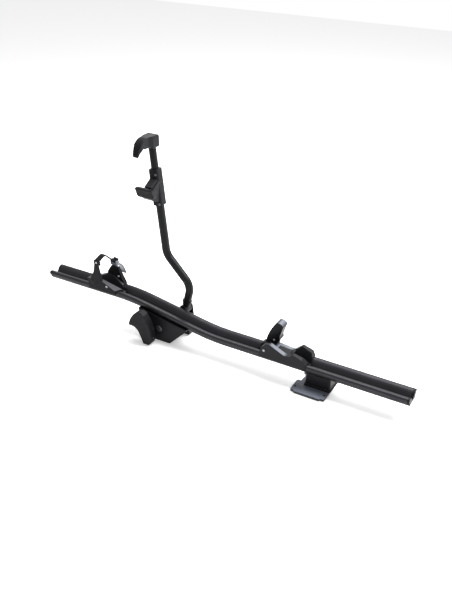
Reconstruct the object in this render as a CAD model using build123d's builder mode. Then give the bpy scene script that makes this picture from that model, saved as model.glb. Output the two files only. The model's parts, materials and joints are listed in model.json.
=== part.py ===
# Upright roof carrier for one bicycle: a bent tray rail on two feet, a strapped front wheel
# holder, a sliding rear wheel cradle and a folding arm with a telescoping pair of jaws.
# Millimetres. +X runs along the rail to its rear end, +Y is the arm's side, +Z is up.
# The origin is the middle of the front foot's seat on the roof bar.
import os
from math import atan2, cos, radians, sin, tan

from build123d import *

os.makedirs("parts", exist_ok=True)

# One overrun for every cut, and the gaps between pieces
overrun = 1.0
moving_gap = 0.3
running_gap = 0.05
slip_gap = 0.4

# Rail: a tray extrusion with rolled lips, bent twice, and a T-slot along its underside
rail_length = 1450.0
rail_front_reach = 492.0
rail_width = 75.0
rail_height = 31.0
rail_floor = 10.0
rail_base_width = 50.0
rail_shoulder_y = 30.5
rail_shoulder_bulge = 1.9
rail_knee_y = 13.0
rail_knee_height = 23.3
rail_valley_width = 7.0
rail_web_bulge = 2.2
lip_height = 12.0
lip_overhang = 4.5
lip_round = 6.5
lip_under_round = 1.0
rail_skin = 2.0
slot_mouth = 8.6
slot_width = 17.0
slot_depth = 5.0
rail_rear_height = 60.0
rail_step = 60.0
bend_front_x = -113.0
bend_rear_x = 225.0
bend_radius = 700.0
cap_thickness = 8.0
cap_step = 0.8
cap_plug_length = 22.0
cap_plug_gap = 0.2

# Front foot: a moulded housing under the sloping run
foot_seat_half = 64.0
foot_rear_top_x = 136.0
foot_half_width = 43.0
foot_wall = 5.0
foot_cradle = 8.0
foot_heel = 9.0
foot_roof = 13.0
foot_round = 3.0
foot_front_lean = 4.0
pad_thickness = 4.0
pad_inset = 5.0
pad_tongue = 3.0
pad_half_share = 0.6
pad_skin = 1.5
bar_bolt_radius = 4.5

# Arm fork on the far side of the front foot
pivot_x = 71.0
pivot_y = 60.0
pivot_z = 105.0
hub_radius = 18.0
fork_inner_y = 39.5
fork_outer_thickness = 6.0
fork_base_width = 52.0
fork_base_height = 30.0
fork_base_drop = 6.0
pivot_journal_radius = 8.0
pivot_head_radius = 11.0
pivot_head_height = 3.5
pivot_engagement = 8.0

# Arm: one bent tube in the plane of the hub
tube_diameter = 30.0
tube_wall = 1.8
socket_radius = 17.5
socket_start = 28.8
socket_step = 30.4
socket_end = 38.0
spigot_end = 62.0
arm_low_corner_x = 96.0
arm_low_corner_z = 205.0
arm_high_corner_x = -3.0
arm_high_corner_z = 310.0
arm_lean = 6.05
arm_bend_radius = 58.0
inner_tube_wall = 1.6
inner_tube_overlap = 122.0
inner_tube_reach = 105.0

# Jaws: both reach over the rail from the arm's line
sleeve_width = 37.0
sleeve_depth = 38.0
sleeve_bottom_z = 498.0
sleeve_cap = 15.0
jaw_x = -31.6
jaw_nose_y = -23.0
jaw_nose_rise = 79.0
jaw_chin_y = -12.0
jaw_chin_rise = 48.0
jaw_belly_y = 7.0
jaw_belly_rise = 33.0
jaw_root_rise = 15.0
jaw_back_y = 5.0
sleeve_height = 129.0
sleeve_round = 9.0
jaw_lip_y = -17.0
jaw_lip_rise = 82.0
jaw_lip_width = 69.0
jaw_lip_thickness = 8.0
jaw_neck_width = 37.0
jaw_ramp_foot_y = 10.0
jaw_ramp_foot_rise = 73.0
jaw_ramp_top_rise = 92.0
jaw_pad_width = 29.0
jaw_pad_thickness = 7.0
jaw_pad_end = 4.0
jaw_lip_round = 12.0
head_x = -46.5
head_width = 40.0
head_back_y = 79.0
head_height = 42.0
head_cap = 13.0
head_shoulder = 7.0
head_pad_thickness = 4.0
head_screw_drop = 23.0
crown_y = 20.0
crown_rise = 2.0
beak_brow_y = -20.0
beak_brow_drop = 16.0
beak_tip_rise = 6.0
throat_bend_y = -14.0
throat_bend_drop = 35.0
heel_y = 37.0
heel_rise = 3.0
heel_end_y = 44.0
beak_width = 30.0
beak_root_y = 2.0
beak_tip_y = -35.0
beak_tip_drop = 54.0
beak_tip_width = 19.0
throat_roof_drop = 29.0
throat_rear_y = 30.0

# Jaw drive: knob under the hub, flexible drive in the tube, lead screw at its top
knob_diameter = 30.0
knob_near = 25.0
knob_far = 52.0
knob_flutes = 10
knob_flute_radius = 3.0
knob_shaft_diameter = 8.0
drive_diameter = 7.0
nut_gap = 2.0
screw_low_rise = 12.0
screw_diameter = 10.0
screw_journal_diameter = 8.0
screw_journal_drop = 8.0
screw_in_tube = 55.0
bearing_length = 12.0
bearing_z = 340.0
nut_length = 18.0

# Clamp lever with its eccentric shaft, and the nut that the shaft lifts
lever_z = 30.0
lever_near_y = -90.0
lever_far_y = -62.0
lever_heel_x = -20.0
lever_foot_z = 4.0
lever_toe_x = 3.0
lever_bend_x = 13.0
lever_bend_z = 13.0
lever_front_x = 16.0
lever_face_x = 10.0
lever_face_z = 78.0
lever_brow_x = -8.0
lever_brow_z = 116.0
lever_crown_x = -27.6
lever_crown_z = 131.0
lever_nape_x = -49.0
lever_nape_z = 125.0
lever_back_x = -68.5
lever_back_z = 102.0
lever_lip_x = -81.0
lever_lip_z = 71.0
lever_hook_x = -79.0
lever_hook_z = 66.5
lever_tongue_x = -74.0
lever_tongue_z = 66.0
lever_under_x = -57.0
lever_under_z = 64.0
lever_throat_x = -41.0
lever_throat_z = 52.0
lever_knee_x = -29.0
lever_knee_z = 27.0
shaft_boss_radius = 14.0
shaft_boss_gap = 0.5
cross_pin_radius = 2.5
cross_pin_reach = 15.0
cross_pin_y = -73.0
shaft_diameter = 20.0
shaft_socket_depth = 20.0
eccentric_diameter = 14.0
eccentric_offset = 2.5
eccentric_half_angle = 35.0
eye_thickness = 12.0
eye_width = 32.0
eye_wall = 6.0
journal_diameter = 8.0
draw_sleeve_diameter = 12.0
draw_bore_diameter = 8.0
draw_bore_depth = 14.0
draw_sleeve_bottom = 5.0

# Key lock on the housing's near face
lock_x = 20.0
lock_z = 56.0
bezel_radius = 12.5
bezel_height = 2.5
lock_plug_radius = 7.5
lock_plug_depth = 14.0
key_slot_width = 1.6
key_slot_length = 8.0
key_slot_depth = 4.0
lock_cam_reach = 12.0
lock_cam_thickness = 2.5
lock_cam_width = 7.0

# Rear foot
rear_block_front_x = 599.0
rear_block_rear_x = 689.0
rear_block_half_width = 26.0
rear_block_flare = 8.0
rear_plate_front_x = 565.0
rear_plate_rear_x = 689.0
rear_plate_half_width = 75.0
rear_plate_thickness = 7.0
rear_pad_thickness = 3.0
rear_ear_depth = 14.0
rear_ear_near_y = -70.0
rear_ear_waist_near_y = -10.0
rear_ear_waist_far_y = 40.0
rear_ear_far_y = 70.0
rear_plate_round = 4.0
rear_hole_spacing_x = 106.0
rear_hole_spacing_y = 96.0
rear_hole_radius = 3.3
rear_screw_spacing_x = 60.0
rear_screw_length = 17.0
rear_rib_thickness = 5.0
rear_bolt_spacing = 44.0
rear_block_foot = 5.0

# Both wheel holders close round the rail's lips and leave a chute for the tyre
liner_floor = 6.0
chute_floor_half = 5.0
chute_knee_y = 26.0
chute_knee_height = 60.0
chute_top_y = 32.0
chute_top_height = 100.0
holder_half_width = 41.0
holder_hook = 2.0

# Front wheel holder: a saddle over both lips, a post on its near wall and a buttress on the far one
saddle_front_x = -320.0
saddle_rear_x = -177.0
saddle_near_front_x = -297.0
saddle_near_rear_x = -158.0
saddle_near_crest_x = -232.0
saddle_near_z = 181.0
saddle_foot = 3.0
saddle_valley_x = -293.0
saddle_valley_z = 160.0
seat_front_x = -256.0
seat_rear_x = -225.0
seat_z = 177.0
ledge_reach = 5.0
ledge_thickness = 3.5
gusset_front_x = -293.0
gusset_rear_x = -240.0
gusset_tip_x = -268.0
gusset_tip_z = 155.0
gusset_taper = 32.0
post_thickness = 13.0
post_foot_front_x = -279.0
post_foot_rear_x = -231.0
post_toe_x = -277.0
post_toe_z = 190.0
post_waist_front_x = -262.0
post_waist_rear_x = -240.0
post_waist_z = 219.0
post_shoulder_front_x = -259.0
post_shoulder_z = 236.0
post_neck_front_x = -256.5
post_neck_rear_x = -243.0
post_round = 1.5
hood_low_z = 247.0
hood_high_z = 261.0
hood_wall = 2.5
hood_floor = 3.0
rivet_drop = 6.0
buttress_lug_z = 189.0
buttress_front_top_x = -240.0
buttress_rear_top_x = -208.0
buttress_top_z = 213.0
buttress_thickness = 18.0
buttress_round = 5.0
saddle_screw_x = -210.0
saddle_screw_z = 164.0
brace_screw_x = -204.0
brace_screw_z = 178.0
brace_screw_lean = 30.0
brace_screw_length = 20.0
strap_x = -240.0
strap_turn = 10.0
strap_width = 26.0
strap_thickness = 3.0
strap_near_t = -40.0
strap_near_z = 261.0
strap_apex_t = -7.0
strap_apex_z = 276.5
strap_far_t = 40.5
strap_far_z = 229.0
strap_near_bend = 8.0
strap_apex_bend = 16.0
buckle_wall = 2.5
buckle_floor = 3.0
buckle_reach = 13.0
buckle_height = 21.0
buckle_lug = 9.0
buckle_lever_t = 50.5
buckle_lever_z = 220.5
buckle_lever_radius = 5.5
buckle_tip_t = 85.0
buckle_tip_z = 167.0
buckle_tip_radius = 4.5
buckle_lever_bow = 5.0
buckle_lever_thickness = 6.0
buckle_pawl_t = 48.5
buckle_pawl_z = 230.5
buckle_pawl_radius = 3.2
buckle_tab = 7.0
buckle_pin_radius = 1.6

# Rear wheel holder: a sliding cradle with a horn, a scooped floor and a V between two cheeks
cradle_front_x = 411.0
cradle_near_front_x = 430.0
cradle_rear_x = 604.0
cradle_foot = 3.0
near_toe_x = 436.0
near_toe_z = 112.0
near_brow_x = 452.0
near_brow_z = 131.0
near_cheek_x = 472.0
near_cheek_z = 134.0
near_dip_x = 499.0
near_dip_z = 121.0
near_valley_front_x = 524.0
near_valley_rear_x = 545.0
near_valley_z = 110.0
near_crest_x = 558.0
near_crest_z = 123.0
near_tail_x = 588.0
near_tail_z = 112.0
far_wall_x = 427.0
far_wall_z = 99.0
far_heel_x = 466.0
far_heel_z = 101.0
far_valley_x = 528.0
far_valley_z = 95.0
paddle_x = 559.0
paddle_z = 122.0
paddle_shoulder_x = 597.0
paddle_shoulder_z = 110.0
scoop_x = 506.0
scoop_z = 95.5
scoop_radius = 110.0
scoop_front_x = 468.0
scoop_rear_x = 541.0
scoop_near_y = -24.0
scoop_far_y = 26.0
cradle_screw_x = 449.0
cradle_screw_z = 106.0
horn_near_y = 20.0
horn_far_y = 55.0
horn_base_x = 424.0
horn_mid_x = 436.0
horn_mid_z = 140.0
horn_top_x = 461.0
horn_top_z = 184.0
horn_crown_x = 475.0
horn_crown_z = 186.5
horn_tip_x = 489.0
horn_tip_z = 174.5
horn_notch_x = 476.0
horn_notch_top_z = 132.0
horn_notch_depth = 2.0
horn_notch_low_z = 121.0
horn_screw_x = 457.0
horn_screw_z = 116.0
cradle_pad_front_x = 480.0
cradle_pad_rear_x = 530.0
cradle_pad_inset = 4.0
cradle_pad_thickness = 2.5

# Common fasteners
bolt_radius = 4.0
bolt_head_width = 16.0
bolt_head_height = 4.2
nut_radius = 7.2
nut_height = 6.5
washer_radius = 9.0
washer_thickness = 1.6
small_screw_radius = 2.0
small_head_radius = 4.2
small_head_height = 2.6
button_shoulder_share = 0.55
button_crown_share = 0.7
small_socket_radius = 1.9
small_socket_depth = 1.4
small_screw_length = 10.0
sleeve_screw_length = 3.6

# Places worked out from the values above
rail_front_x = -rail_front_reach
rail_rear_x = rail_length - rail_front_reach
rail_front_height = rail_rear_height + rail_step
rail_slope = atan2(rail_step, bend_rear_x - bend_front_x)
lip_y = rail_width / 2
wall_y = lip_y - lip_overhang
sleeve_top_z = sleeve_bottom_z + sleeve_height
arm_tube_top_z = sleeve_top_z - sleeve_cap
inner_tube_top_z = sleeve_top_z + inner_tube_reach
inner_tube_bottom_z = arm_tube_top_z - inner_tube_overlap
head_top_z = inner_tube_top_z + head_cap
head_bottom_z = head_top_z - head_height
throat_roof_z = head_top_z - throat_roof_drop
beak_tip_z = head_top_z - beak_tip_drop
jaw_lip_z = sleeve_bottom_z + jaw_lip_rise
jaw_nose_z = sleeve_bottom_z + jaw_nose_rise
jaw_chin_z = sleeve_bottom_z + jaw_chin_rise
jaw_belly_z = sleeve_bottom_z + jaw_belly_rise
jaw_root_z = sleeve_bottom_z + jaw_root_rise
jaw_ramp_foot_z = sleeve_bottom_z + jaw_ramp_foot_rise
jaw_ramp_top_z = sleeve_bottom_z + jaw_ramp_top_rise
screw_journal_z = bearing_z - screw_journal_drop
screw_low_z = bearing_z + screw_low_rise
screw_top_z = inner_tube_bottom_z + screw_in_tube
drive_top_z = screw_journal_z - moving_gap


def rail_bottom(x):
    # Height of the rail's underside above the bar seats
    drop = (x - bend_front_x) * tan(rail_slope)
    return rail_front_height - min(max(drop, 0), rail_step)


def rail_plane(x, height=0):
    # Plane across the rail's normal at x, facing up out of the tray
    tilt = rail_slope if bend_front_x < x < bend_rear_x else 0
    up = Vector(sin(tilt), 0, cos(tilt))
    start = Vector(x, 0, rail_bottom(x)) + up * height
    return Plane(origin=start, x_dir=(cos(tilt), 0, -sin(tilt)), z_dir=up)


def side_plane(y):
    # Plane of the rail's side view at y: local x is +X and local y is +Z
    return Plane(origin=(0, y, 0), x_dir=(1, 0, 0), z_dir=(0, -1, 0))


def cross_plane(x, z=0):
    # Plane across the rail at x: local x is +Y and local y is +Z
    return Plane(origin=(x, 0, z), x_dir=(0, 1, 0), z_dir=(1, 0, 0))


def save(piece, name):
    piece.part.label = name
    export_step(piece.part, f"parts/{name}.step")


# Rail section: local x across the rail, local y up from its underside
with BuildSketch() as rail_outline:
    with BuildLine():
        base = Line((0, 0), (rail_base_width / 2, 0))
        web = SagittaArc(base @ 1, (wall_y, rail_height - lip_height), -rail_web_bulge)
        under = Line(web @ 1, (lip_y, rail_height - lip_height))
        outside = Line(under @ 1, (lip_y, rail_height))
        top = Line(outside @ 1, (rail_shoulder_y, rail_height))
        shoulder = SagittaArc(top @ 1, (rail_knee_y, rail_knee_height), -rail_shoulder_bulge)
        flank = Line(shoulder @ 1, (rail_valley_width / 2, rail_floor))
        Line(flank @ 1, (0, rail_floor))
        Line((0, rail_floor), (0, 0))
    make_face()
    mirror(about=Plane.YZ)
    tops = rail_outline.vertices().filter_by(lambda v: abs(v.Y - rail_height) < lip_under_round)
    fillet(tops.filter_by(lambda v: abs(v.X) > wall_y), lip_round)
    unders = rail_outline.vertices().filter_by(lambda v: abs(v.X) > lip_y - lip_under_round)
    fillet(unders.sort_by(Axis.Y)[:2], lip_under_round)

# Two hollow chambers beside the slot, following the section's outside
with BuildSketch() as rail_chambers:
    offset(rail_outline.sketch, amount=-rail_skin)
    Rectangle(slot_width + 2 * rail_skin, 2 * rail_height, mode=Mode.SUBTRACT)

with BuildSketch() as rail_section:
    add(rail_outline.sketch)
    with Locations((0, rail_skin / 2)):
        Rectangle(slot_mouth, rail_skin, mode=Mode.SUBTRACT)
    with Locations((0, rail_skin + slot_depth / 2)):
        Rectangle(slot_width, slot_depth, mode=Mode.SUBTRACT)
    add(rail_chambers.sketch, mode=Mode.SUBTRACT)

# The rail's underside in side view
with BuildLine(Plane.XZ) as rail_path:
    FilletPolyline(
        (rail_front_x + cap_thickness, rail_front_height),
        (bend_front_x, rail_front_height),
        (bend_rear_x, rail_rear_height),
        (rail_rear_x - cap_thickness, rail_rear_height),
        radius=bend_radius,
    )

rail_start = cross_plane(rail_front_x + cap_thickness, rail_front_height)
with BuildPart() as rail:
    with BuildSketch(rail_start):
        add(rail_section.sketch)
    sweep(path=rail_path.line)
save(rail, "rail")

# What the saddles and the front foot leave free for the rail, seated on its underside
with BuildSketch() as rail_clearance:
    offset(rail_outline.sketch, amount=slip_gap)
    with Locations((0, -slip_gap)):
        Rectangle(rail_width + 2 * slip_gap, slip_gap, align=(Align.CENTER, Align.MIN), mode=Mode.SUBTRACT)


def make_end_cap(x, height, inward):
    # Cap with the rail's outline and two plugs in the rail's side chambers
    face = Plane(origin=(x, 0, height), x_dir=(0, inward, 0), z_dir=(inward, 0, 0))
    with BuildPart() as cap:
        with BuildSketch(face):
            offset(rail_outline.sketch, amount=-cap_step)
        extrude(amount=cap_thickness)
        with BuildSketch(face.offset(cap_step)):
            add(rail_outline.sketch)
        extrude(amount=cap_thickness - cap_step)
        with BuildSketch(face.offset(cap_thickness)):
            offset(rail_chambers.sketch, amount=-cap_plug_gap)
        extrude(amount=cap_plug_length)
    return cap


save(make_end_cap(rail_front_x, rail_front_height, 1), "front_end_cap")
save(make_end_cap(rail_rear_x, rail_rear_height, -1), "rear_end_cap")


def revolved_piece(piece_plane, outline):
    # Solid turned about the plane's own Z from (radius, height) corners
    with BuildPart() as turned:
        with BuildSketch(Plane.XZ):
            with BuildLine():
                Polyline(*outline, close=True)
            make_face()
        revolve(axis=Axis.Z)
    return piece_plane * turned.part


def cap_screw(plane, length, shank=small_screw_radius, head=small_head_radius, rise=small_head_height):
    # Button-head screw whose head stands on the plane
    body = revolved_piece(plane, [(0, -length), (shank, -length), (shank, 0), (head, 0),
                                  (head, rise * button_shoulder_share), (head * button_crown_share, rise),
                                  (0, rise)])
    socket = RegularPolygon(small_socket_radius, 6)
    depth = small_socket_depth
    return body - extrude(plane.offset(rise - depth) * socket, amount=depth + overrun)


def save_group(solids, name):
    group = Compound(children=list(solids))
    group.label = name
    export_step(group, f"parts/{name}.step")


# Front foot housing, cradling the rail's underside
foot_front_x = -foot_seat_half - foot_front_lean


def foot_side(inset=0, roof=foot_cradle):
    # Side outline of the housing, or of its hollow when inset from its walls
    low = pad_thickness
    front_x = foot_front_x + inset
    lean = inset / cos(rail_slope)
    rear_seat_x = foot_seat_half - lean
    rear_top_x = foot_rear_top_x - 2 * lean
    corners = [(-foot_seat_half + inset, low), (rear_seat_x, low)]
    corners.append((rear_top_x, rail_bottom(rear_top_x) + min(roof, 0)))
    if roof > 0:
        corners.append((rear_top_x, rail_bottom(rear_top_x) + roof))
    corners += [(front_x, rail_bottom(front_x) + roof), (front_x, low + foot_heel)]
    return corners


with BuildPart() as rail_space:
    with BuildSketch(rail_start):
        add(rail_clearance.sketch)
    sweep(path=rail_path.line)

hollow_half = foot_half_width - foot_wall
foot_bolt_xs = (-pad_half_share * foot_seat_half, pivot_x)
shaft_boss_length = -foot_half_width - lever_far_y - shaft_boss_gap
with BuildPart() as front_foot_housing:
    with BuildSketch(Plane.XZ):
        with BuildLine():
            Polyline(*foot_side(), close=True)
        make_face()
    extrude(amount=foot_half_width, both=True)
    uprights = front_foot_housing.edges().filter_by(Axis.Z).group_by(Axis.X)[0]
    fillet(uprights, foot_round)
    with BuildSketch(Plane.XZ):
        with BuildLine():
            Polyline(*foot_side(foot_wall, -foot_roof), close=True)
        make_face()
    extrude(amount=hollow_half, both=True, mode=Mode.SUBTRACT)
    # Fork foot and inner cheek for the arm
    with BuildSketch(Plane.XY.offset(fork_base_drop)):
        with Locations((pivot_x, foot_half_width)):
            Rectangle(fork_base_width, pivot_y - foot_half_width + hub_radius, align=(Align.CENTER, Align.MIN))
    extrude(amount=fork_base_height - fork_base_drop)
    with BuildSketch(side_plane(fork_inner_y)):
        with BuildLine():
            Polyline((pivot_x - fork_base_width / 2, fork_base_drop),
                     (pivot_x + fork_base_width / 2, fork_base_drop),
                     (pivot_x + hub_radius, pivot_z), (pivot_x - hub_radius, pivot_z), close=True)
        make_face()
        with Locations((pivot_x, pivot_z)):
            Circle(hub_radius)
    extrude(amount=-(pivot_y - tube_diameter / 2 - moving_gap - fork_inner_y))
    add(rail_space.part, mode=Mode.SUBTRACT)
    # Boss round the clamp shaft, out to the lever
    with BuildSketch(side_plane(-foot_half_width)):
        with Locations((0, lever_z)):
            Circle(shaft_boss_radius)
    extrude(amount=shaft_boss_length)
    # Bores: pivot pin, rail bolts, clamp shaft, key lock
    with BuildSketch(side_plane(fork_inner_y)):
        with Locations((pivot_x, pivot_z)):
            Circle(pivot_journal_radius)
    extrude(amount=-foot_wall - overrun, mode=Mode.SUBTRACT)
    for bolt_x in foot_bolt_xs:
        with BuildSketch(rail_plane(bolt_x)):
            Circle(slot_mouth / 2)
        extrude(amount=-foot_roof - overrun, mode=Mode.SUBTRACT)
    with BuildSketch(side_plane(-hollow_half + overrun)):
        with Locations((0, lever_z)):
            Circle(shaft_diameter / 2 + running_gap)
        with Locations((lock_x, lock_z)):
            Circle(lock_plug_radius + running_gap)
    extrude(amount=foot_wall + shaft_boss_length + 2 * overrun, mode=Mode.SUBTRACT)
    with BuildSketch(side_plane(hollow_half)):
        with Locations((0, lever_z)):
            Circle(journal_diameter / 2 + running_gap)
    extrude(amount=-foot_wall + overrun, mode=Mode.SUBTRACT)
save(front_foot_housing, "front_foot_housing")

# Rubber pad with a tongue up into the housing
pad_half = foot_seat_half - pad_inset
with BuildPart() as front_foot_pad:
    with BuildSketch():
        RectangleRounded(2 * pad_half, 2 * (foot_half_width - pad_inset), pad_inset)
    extrude(amount=pad_thickness)
    with BuildSketch(Plane.XY.offset(pad_thickness)):
        Rectangle(2 * (foot_seat_half - 2 * foot_wall), 2 * (hollow_half - moving_gap))
    extrude(amount=pad_tongue)
    with BuildSketch():
        Circle(bar_bolt_radius)
    extrude(amount=pad_skin, mode=Mode.SUBTRACT)
    with BuildSketch(Plane.XY.offset(pad_skin)):
        Circle(draw_sleeve_diameter / 2 + slip_gap)
    extrude(amount=pad_thickness + pad_tongue, mode=Mode.SUBTRACT)
    groove = front_foot_pad.edges().filter_by(Axis.Y).group_by(Axis.Z)[0]
    chamfer(groove, pad_tongue / 3)
save(front_foot_pad, "front_foot_pad")

# Outer cheek of the fork, bolted to the end of the fork foot
fork_outer_y = pivot_y + tube_diameter / 2 + moving_gap
fork_foot_end = pivot_y + hub_radius
with BuildPart() as fork_plate:
    with BuildSketch(side_plane(fork_foot_end)):
        with BuildLine():
            Polyline((pivot_x - fork_base_width / 2, fork_base_drop),
                     (pivot_x + fork_base_width / 2, fork_base_drop),
                     (pivot_x + hub_radius, pivot_z), (pivot_x - hub_radius, pivot_z), close=True)
        make_face()
        with Locations((pivot_x, pivot_z)):
            Circle(hub_radius)
    extrude(amount=-fork_outer_thickness)
    with BuildSketch(side_plane(fork_foot_end)):
        with Locations((pivot_x, pivot_z)):
            Circle(hub_radius)
    extrude(amount=fork_foot_end - fork_outer_y)
    with BuildSketch(side_plane(fork_foot_end + fork_outer_thickness)):
        with Locations((pivot_x, pivot_z)):
            Circle(pivot_journal_radius)
    extrude(amount=fork_foot_end + fork_outer_thickness - fork_outer_y, mode=Mode.SUBTRACT)
save(fork_plate, "fork_plate")

# Pins that the arm turns on: a flush one in the inner cheek, a shoulder bolt in the outer one
fork_plate_face = fork_foot_end + fork_outer_thickness
hub_near_y = pivot_y - tube_diameter / 2
hub_far_y = pivot_y + tube_diameter / 2
near_reach = hub_near_y + pivot_engagement - fork_inner_y
far_reach = fork_plate_face - hub_far_y + pivot_engagement
near_pin_plane = Plane(origin=(pivot_x, fork_inner_y, pivot_z), x_dir=(1, 0, 0), z_dir=(0, 1, 0))
far_bolt_plane = Plane(origin=(pivot_x, fork_plate_face, pivot_z), x_dir=(1, 0, 0), z_dir=(0, 1, 0))
near_pin = near_pin_plane * extrude(Circle(pivot_journal_radius), amount=near_reach)
far_bolt = revolved_piece(far_bolt_plane, [(0, -far_reach), (pivot_journal_radius, -far_reach),
                                           (pivot_journal_radius, 0), (pivot_head_radius, 0),
                                           (pivot_head_radius, pivot_head_height * button_crown_share),
                                           (pivot_journal_radius, pivot_head_height),
                                           (0, pivot_head_height)])
save_group([near_pin, far_bolt], "pivot_pins")

# T-head bolts from the rail's slot, with their nuts and washers under each foot's roof


def rail_bolt(x, grip):
    plane = rail_plane(x, rail_skin)
    reach = rail_skin + grip + washer_thickness + nut_height + overrun
    head = extrude(plane * Rectangle(bolt_head_width, bolt_head_width), amount=bolt_head_height)
    return head + extrude(plane * Circle(bolt_radius), amount=-reach)


def rail_nut(x, grip):
    plane = rail_plane(x, -grip)
    washer = extrude(plane * (Circle(washer_radius) - Circle(bolt_radius)), amount=-washer_thickness)
    seat = plane.offset(-washer_thickness)
    nut = extrude(seat * (RegularPolygon(nut_radius, 6) - Circle(bolt_radius)), amount=-nut_height)
    return washer + nut


save_group([rail_bolt(x, foot_roof) for x in foot_bolt_xs], "front_rail_bolts")
save_group([rail_nut(x, foot_roof) for x in foot_bolt_xs], "front_rail_nuts")

# Clamp lever: a flat curved handle with a finger lip, pinned to the shaft near its foot
with BuildPart() as clamp_lever:
    with BuildSketch(side_plane(lever_far_y)):
        with BuildLine():
            foot = Line((lever_heel_x, lever_foot_z), (lever_toe_x, lever_foot_z))
            toe = ThreePointArc(foot @ 1, (lever_bend_x, lever_bend_z), (lever_front_x, lever_z))
            face = ThreePointArc(toe @ 1, (lever_face_x, lever_face_z), (lever_brow_x, lever_brow_z))
            crown = ThreePointArc(face @ 1, (lever_crown_x, lever_crown_z), (lever_nape_x, lever_nape_z))
            back = ThreePointArc(crown @ 1, (lever_back_x, lever_back_z), (lever_lip_x, lever_lip_z))
            lip = ThreePointArc(back @ 1, (lever_hook_x, lever_hook_z), (lever_tongue_x, lever_tongue_z))
            under = ThreePointArc(lip @ 1, (lever_under_x, lever_under_z), (lever_throat_x, lever_throat_z))
            ThreePointArc(under @ 1, (lever_knee_x, lever_knee_z), foot @ 0)
        make_face()
    extrude(amount=lever_far_y - lever_near_y)
    with BuildSketch(side_plane(lever_far_y)):
        with Locations((0, lever_z)):
            Circle(shaft_diameter / 2)
    extrude(amount=shaft_socket_depth, mode=Mode.SUBTRACT)
    with BuildSketch(Plane.YZ.offset(-cross_pin_reach)):
        with Locations((cross_pin_y, lever_z)):
            Circle(cross_pin_radius)
    extrude(amount=cross_pin_reach + lever_front_x + overrun, mode=Mode.SUBTRACT)
save(clamp_lever, "clamp_lever")

# Clamp shaft: it turns in the near wall, its crank lifts the draw nut, its tip runs in the far wall
shaft_end_y = lever_far_y - shaft_socket_depth
rest_x = -eccentric_offset * cos(radians(eccentric_half_angle))
rest_z = lever_z + eccentric_offset * sin(radians(eccentric_half_angle))
with BuildPart() as clamp_shaft:
    with BuildSketch(side_plane(-eye_thickness / 2 - moving_gap)):
        with Locations((0, lever_z)):
            Circle(shaft_diameter / 2)
    extrude(amount=-eye_thickness / 2 - moving_gap - shaft_end_y)
    with BuildSketch(side_plane(eye_thickness / 2 + moving_gap)):
        with Locations((rest_x, rest_z)):
            Circle(eccentric_diameter / 2)
    extrude(amount=eye_thickness + 2 * moving_gap)
    with BuildSketch(side_plane(foot_half_width - overrun)):
        with Locations((0, lever_z)):
            Circle(journal_diameter / 2)
    extrude(amount=foot_half_width - overrun - eye_thickness / 2 - moving_gap)
    with BuildSketch(Plane.YZ.offset(-shaft_diameter)):
        with Locations((cross_pin_y, lever_z)):
            Circle(cross_pin_radius)
    extrude(amount=2 * shaft_diameter, mode=Mode.SUBTRACT)
save(clamp_shaft, "clamp_shaft")

with BuildPart() as lever_cross_pin:
    with BuildSketch(Plane.YZ.offset(-cross_pin_reach)):
        with Locations((cross_pin_y, lever_z)):
            Circle(cross_pin_radius)
    extrude(amount=2 * cross_pin_reach)
save(lever_cross_pin, "lever_cross_pin")

# Draw nut: an eye round the crank and a threaded sleeve that the bar's bolt screws into
eye_gap = 2 * eccentric_offset + 2 * moving_gap
eye_high = rest_z + eccentric_diameter / 2 + moving_gap + eye_wall
with BuildPart() as draw_nut:
    with BuildSketch(side_plane(eye_thickness / 2)):
        with Locations((0, rest_z)):
            RectangleRounded(eye_width, 2 * (eye_high - rest_z), eye_wall)
    extrude(amount=eye_thickness)
    with BuildSketch(Plane.XY.offset(draw_sleeve_bottom)):
        Circle(draw_sleeve_diameter / 2)
    extrude(amount=2 * rest_z - eye_high - draw_sleeve_bottom + eye_wall)
    with BuildSketch(side_plane(eye_thickness)):
        with Locations((0, rest_z)):
            SlotOverall(eccentric_diameter + 2 * moving_gap + eye_gap,
                        eccentric_diameter + 2 * moving_gap)
    extrude(amount=2 * eye_thickness, mode=Mode.SUBTRACT)
    with BuildSketch(Plane.XY.offset(draw_sleeve_bottom)):
        Circle(draw_bore_diameter / 2)
    extrude(amount=draw_bore_depth, mode=Mode.SUBTRACT)
save(draw_nut, "draw_nut")

# Key lock: a ring on the wall and a plug with a cam behind it
lock_face = -foot_half_width - bezel_height
with BuildPart() as lock_bezel:
    with BuildSketch(side_plane(-foot_half_width)):
        with Locations((lock_x, lock_z)):
            Circle(bezel_radius)
            Circle(lock_plug_radius + running_gap, mode=Mode.SUBTRACT)
    extrude(amount=bezel_height)
    rim = lock_bezel.faces().sort_by(Axis.Y)[0].edges().sort_by(SortBy.RADIUS)[-1]
    chamfer(rim, bezel_height / 2)
save(lock_bezel, "lock_bezel")

with BuildPart() as lock_plug:
    with BuildSketch(side_plane(lock_face + lock_plug_depth)):
        with Locations((lock_x, lock_z)):
            Circle(lock_plug_radius)
    extrude(amount=lock_plug_depth)
    with BuildSketch(side_plane(lock_face)):
        with Locations((lock_x, lock_z)):
            SlotOverall(key_slot_length, key_slot_width, rotation=90)
    extrude(amount=-key_slot_depth, mode=Mode.SUBTRACT)
    with BuildSketch(side_plane(lock_face + lock_plug_depth)):
        with Locations((lock_x, lock_z + lock_cam_reach / 2)):
            RectangleRounded(lock_cam_width, lock_cam_reach + lock_cam_width, lock_cam_width / 3)
    extrude(amount=-lock_cam_thickness)
save(lock_plug, "lock_plug")

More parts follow.
